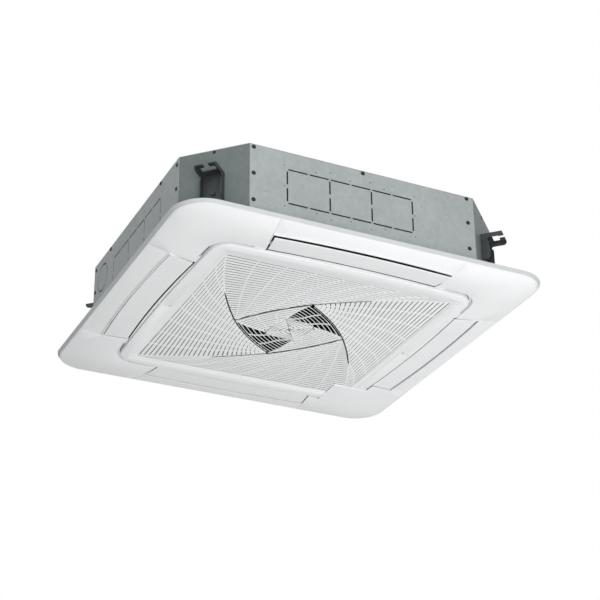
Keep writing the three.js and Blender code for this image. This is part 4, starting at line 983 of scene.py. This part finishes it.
def makeWhirl(material):
    w = whirl
    stops = [whirlStop(*stop) for stop in w["stops"]]
    slats, ribs, sides = slatTree(material), ribTree(material), sideTree(material)
    bases = []
    for number, tier in enumerate(w["tiers"]):
        start, end = stops[number], stops[number + 1]
        bow = Vector((-(end - start).y, (end - start).x, 0)).normalized() * tier["bow"] * mm
        bases.append({"Start": start, "End": end, "Bow": bow, "SideBow": tier["side"] * mm, "Rate": w["rate"],
                      "Lift": w["curveLift"] * mm})
    meshes = []
    for job in w["slats"]:
        number = job["tier"]
        tier = w["tiers"][number]
        startBow = w["tiers"][number - 1]["side"] if number else 0
        meshes.append(slats.run("slats", {
            **bases[number], "Steps": float(tier["steps"]), "First": float(job["first"]),
            "Count": tier["steps"] - job["first"], "Gap": job["gap"] * mm, "EndGap": job["endGap"] * mm,
            "Width": job["width"] * mm, "Depth": job["depth"] * mm, "Lift": job["lift"] * mm,
            "StartBow": startBow * mm, "EndBow": tier["side"] * mm, "TopShare": float(job.get("top", 1)),
            "Lean": float(job.get("lean", 0)), "Overlap": w["overlap"] * mm, "Copies": job.get("copies", 4),
            "FirstTurn": float(job.get("turn", 0))}))
    count = w["curveSteps"]
    for number, tier in enumerate(w["tiers"]):
        curve = {**bases[number], "Steps": float(count - 1), "Count": count}
        spine = {**curve, "Width": w["spineWidth"] * mm, "Depth": w["spineDepth"] * mm}
        meshes.append(ribs.run("spine", {**spine, "Fraction": 0.0}))
        if tier["side"]:
            meshes.append(sides.run("side", {**spine, "Width": w["sideWidth"] * mm}))
        for fraction in tier["ribs"]:
            meshes.append(ribs.run("rib", {
                **curve, "Width": w["ribWidths"][number] * mm, "Depth": w["ribDepths"][number] * mm,
                "Growth": w["growth"], "Fraction": fraction}))
    meshes.append(cylinderMesh("core", *w["core"]))
    return merged("whirl", meshes)


def makeGrille():
    g = grilleSizes
    field = squareOutline(g["field"], 6, sideSteps=2, cornerSteps=6)
    border = loftMesh("border", [(grilleOutline(out), z) for out, z in [*g["edge"], (0, g["wallRise"])]])
    cutters = [prismMesh("inside", grilleOutline(-g["wall"]), g["thick"], g["wallRise"] + 1),
               prismMesh("field", field, -1, g["thick"] + 1)]
    for out, corner, deep in g["steps"]:
        cutters.append(prismMesh("step", squareOutline(g["field"] + out, corner, sideSteps=2), -1, deep))
    hingeY = g["half"] - g["hingeInset"]
    for side in (-1, 1):
        middle = side * g["hingePinAt"]
        cutters.append(boxMesh("notch", (middle - 4.5, hingeY - 7, 3.2), (middle + 4.5, g["half"] + 9, 14)))
    for x, y in g["keySlots"]:
        slot = boxMesh("keySlot", *g["keySlot"])
        slot.transform(Matrix.Translation((x * mm, y * mm, 0)) @ Matrix.Rotation(-math.pi / 4, 4, "Z"))
        cutters.append(slot)
    for index in (0, 2):
        cutters += [turned(boxMesh(name, *g[name]), index) for name in ("latchSlot", "latchGate")]
    frameMesh = softEdges(carved(border, cutters), 0.3 * mm, 2)
    fieldWall = squareOutline(g["field"] + 2, 8, sideSteps=2)
    wall = carved(prismMesh("wall", fieldWall, 1.5, g["slatTop"] + 3), [prismMesh("wallCut", field, -1, 12)])
    parts = [frameMesh, wall, makeWhirl(finish["grille"])]
    for side in (-1, 1):
        face = side * (g["hingePinAt"] - 4)
        ends = sorted((face, face - side * 4))
        parts.append(boxMesh("lug", (ends[0], hingeY - 2.1, 2.5),
                             (ends[1], hingeY + 1.2, g["hingeRise"] + 2.1)))
        pin = sorted((face - side * 2, side * (g["hingePinAt"] + 2.5)))
        parts.append(barAlongX("pin", hingeY, g["hingeRise"], g["pinRadius"], pin[0], pin[1], 12))
    place("grille", smoothed(merged("grille", parts)), finish["grille"], "grille", "panel_white", "grille")
    print("grille made")


marks = {
    "casingHalf": 420, "casingChamfer": 62, "cornerSink": 1.5, "pinhole": (1.5, 0, 0.12), "screwSides": 20,
    "screwProfile": [(5.4, 0.0), (5.4, 0.6), (4.4, 1.1), (4.1, 1.9), (3.6, 2.6), (2.0, 3.0), (1.2, 3.0)],
    "screwRecess": 1.5,
    "frontScrews": [(-286, 222), (-286, 152), (-286, 82), (278, 224), (278, 157), (278, 86), (-5, 223)],
    "leftScrews": [(-172.5, 223), (180, 223)] + [(x, z) for x in (-284, 284) for z in (215, 150, 84)],
    "rightScrews": [(-286, 222), (-286, 152), (-286, 82), (282, 222), (282, 152), (282, 82), (-5, 223)],
    "backScrews": [(-286, 222), (-286, 152), (-286, 82), (282, 222), (282, 82), (-5, 223)],
    "cornerScrews": [(0, 224)],
    "frontHoles": [(x, 193) for x in (-209, -128, -39.5, 50.5, 131.5)] + [(-91, 202), (14, 202)]
                  + [(x, 83.5) for x in (-209, -128, -39.5, 50.5, 131)]
                  + [(-91, 75), (14, 75), (-209, 137), (131, 140)],
    "leftHoles": [(x, 195) for x in (-153, -72, 16, 106, 187)] + [(-36, 205), (69, 205)]
                 + [(x, 83.5) for x in (-153, -72, 16, 106, 187)]
                 + [(-36, 75), (69, 75), (-153, 139), (187, 141)],
}


def screwHead():
    profile, sides = marks["screwProfile"], marks["screwSides"]
    points, faces = [], []
    for radius, rise in profile:
        for step in range(sides):
            angle = 2 * math.pi * step / sides
            points.append((radius * mm * math.cos(angle), radius * mm * math.sin(angle), rise * mm))
    for ring in range(len(profile) - 1):
        for step in range(sides):
            here, there = ring * sides + step, ring * sides + (step + 1) % sides
            faces.append((here, there, there + sides, here + sides))
    last = (len(profile) - 1) * sides
    middle = len(points)
    points.append((0, 0, marks["screwRecess"] * mm))
    for step in range(sides):
        faces.append((last + step, last + (step + 1) % sides, middle))
    faces.append(tuple(reversed(range(sides))))
    return meshFrom("screwHead", points, faces)


def facing(index, diagonal=False):
    # turns +Z to look out of a side, or of a corner
    turn = index * math.pi / 2 - (math.pi / 4 if diagonal else 0)
    return Matrix.Rotation(turn, 4, "Z") @ Matrix.Rotation(math.pi / 2, 4, "X")


def makeMarks():
    spots = spotTree()
    screw = makeObject("screwPart", screwHead())
    disc = makeObject("discPart", cylinderMesh("disc", *marks["pinhole"], 12))
    half = marks["casingHalf"] * mm
    chamfer = (marks["casingHalf"] - marks["casingChamfer"]) * math.sqrt(2) * mm
    jobs = [(f"screws.{name}", f"{name}Screws", index, False, screw, "screw")
            for index, name in enumerate(sideNames)]
    jobs += [(f"pinholes.{name}", f"{name}Holes", sideNames.index(name), False, disc, "hole")
             for name in ("front", "left")]
    jobs += [(f"screws.{name}", "cornerScrews", index, True, screw, "screw")
             for index, name in enumerate(cornerNames)]
    for name, listName, index, diagonal, part, look in jobs:
        depth = (chamfer - marks["cornerSink"] * mm) if diagonal else half
        matrix = facing(index, diagonal)
        points = [matrix @ Vector((x * mm, z * mm, depth)) for x, z in marks[listName]]
        values = {"Part": part, "Turn": Vector(matrix.to_euler()), "Size": 1.0, "Material": finish[look]}
        mesh = spots.run(name, values, meshFrom("spots", points, []))
        obj = makeObject(name, smoothed(mesh))
        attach(obj, "unit")
    for part in (screw, disc):
        bpy.data.objects.remove(part)
    print("screws and pinholes made")


def paint(look, *names):
    for name in names:
        mesh = nodes[name].data
        mesh.materials.clear()
        mesh.materials.append(finish[look])


def paintAll():
    paint("casing", "top_plate", *[f"side_plate_{name}" for name in sideNames], "pipe_cover_plate")
    # the corner plates get the darker zinc, which is painted shade
    paint("corner", *[f"corner_plate_{name}" for name in cornerNames])
    paint("bracket", *[f"hanger_bracket_{name}" for name in cornerNames])
    paint("foam", "foam_liner")
    paint("pan", "drain_pan")
    paint("fins", "heat_exchanger")
    paint("inner", "coil_end_plate_back", "coil_end_plate_right", "coil_baffle", "motor_mount", "control_box",
          "control_box_cover", "pump_bracket", "bell_plate")
    paint("motor", "fan_motor", "motor_shaft", "fan_nut")
    paint("greyPlastic", "bell_mouth", "fan_impeller", "drain_pump", "pump_impeller", "float_switch",
          "drain_hose", "drain_spigot", *[f"vane_motor_{name}" for name in sideNames])
    paint("whitePlastic", "float_ring")
    paint("grille", "grille_latch_right", "grille_latch_left")
    paint("blackPlastic", "terminal_block")
    paint("board", "control_board")
    paint("copper", "gas_pipe", "liquid_pipe", "gas_flare_nut", "liquid_flare_nut")
    paint("filter", "filter")
    print("looks set")


view = {
    "place": (-1.5537, -3.2845, -1.7933), "turn": (117.347, 0.494, -25.489), "lens": 97.18, "sensor": 36,
    "reach": 60,
}
lamps = {
    "key": {"place": (-1.15, -3.4, -1.3), "aim": (0, 0, 0.1), "size": 2.4, "power": 84},
    "below": {"place": (1.2, -0.2, -2.4), "aim": (0, 0, 0), "size": 2.8, "power": 62},
    "above": {"place": (0.6, 0.9, 3.0), "aim": (0, 0, 0.2), "size": 3.0, "power": 60},
}
room = {"floorRise": -2.6, "floorHalf": 14, "worldLight": 0.22}


def aimed(obj, spot, aim):
    obj.location = spot
    obj.rotation_euler = (Vector(aim) - Vector(spot)).to_track_quat("-Z", "Y").to_euler()


def makeView():
    camera = bpy.data.objects.new("camera", bpy.data.cameras.new("camera"))
    bpy.context.scene.collection.objects.link(camera)
    camera.location = view["place"]
    camera.rotation_euler = Euler([math.radians(angle) for angle in view["turn"]], "XYZ")
    camera.data.lens = view["lens"]
    camera.data.sensor_width = view["sensor"]
    camera.data.clip_end = view["reach"]
    bpy.context.scene.camera = camera
    for name, lamp in lamps.items():
        light = bpy.data.lights.new(name, "AREA")
        light.shape = "SQUARE"
        light.size = lamp["size"]
        light.energy = lamp["power"]
        obj = bpy.data.objects.new(name, light)
        bpy.context.scene.collection.objects.link(obj)
        aimed(obj, lamp["place"], lamp["aim"])


def seenRays(tree):
    # camera, glossy and transmission rays together
    rays = addNode(tree, "ShaderNodeLightPath")
    seen = mathNode(tree, "ADD", rays.outputs["Is Camera Ray"], rays.outputs["Is Glossy Ray"])
    return mathNode(tree, "MINIMUM", mathNode(tree, "ADD", seen, rays.outputs["Is Transmission Ray"]), 1.0)


def makeRoom():
    world = bpy.data.worlds.new("studio")
    bpy.context.scene.world = world
    world.use_nodes = True
    tree = world.node_tree
    background = tree.nodes["Background"]
    background.inputs["Color"].default_value = (1, 1, 1, 1)
    strength = mapRange(tree, seenRays(tree), room["worldLight"], 1.0)
    tree.links.new(strength, background.inputs["Strength"])
    half, rise = room["floorHalf"], room["floorRise"]
    mat, floorTree, shader = newMaterial("paleFloor", 0.8, 0.0, 0.2)
    clouds = noise(floorTree, 1.5, 2)
    floorTree.links.new(ramp(floorTree, clouds, [(0.3, (0.9, 0.9, 0.9)), (0.7, (0.93, 0.93, 0.93))]),
                        shader.inputs["Base Color"])
    square = [(-half, -half, rise), (half, -half, rise), (half, half, rise), (-half, half, rise)]
    floor = makeObject("floor", meshFrom("floor", square, [(0, 1, 2, 3)]), mat)
    bpy.context.scene.view_settings.view_transform = "Standard"
    print("camera, lamps and room made")


makeView()
paintAll()
makePanel()
makeVanes()
makeGrille()
makeMarks()
makeRoom()
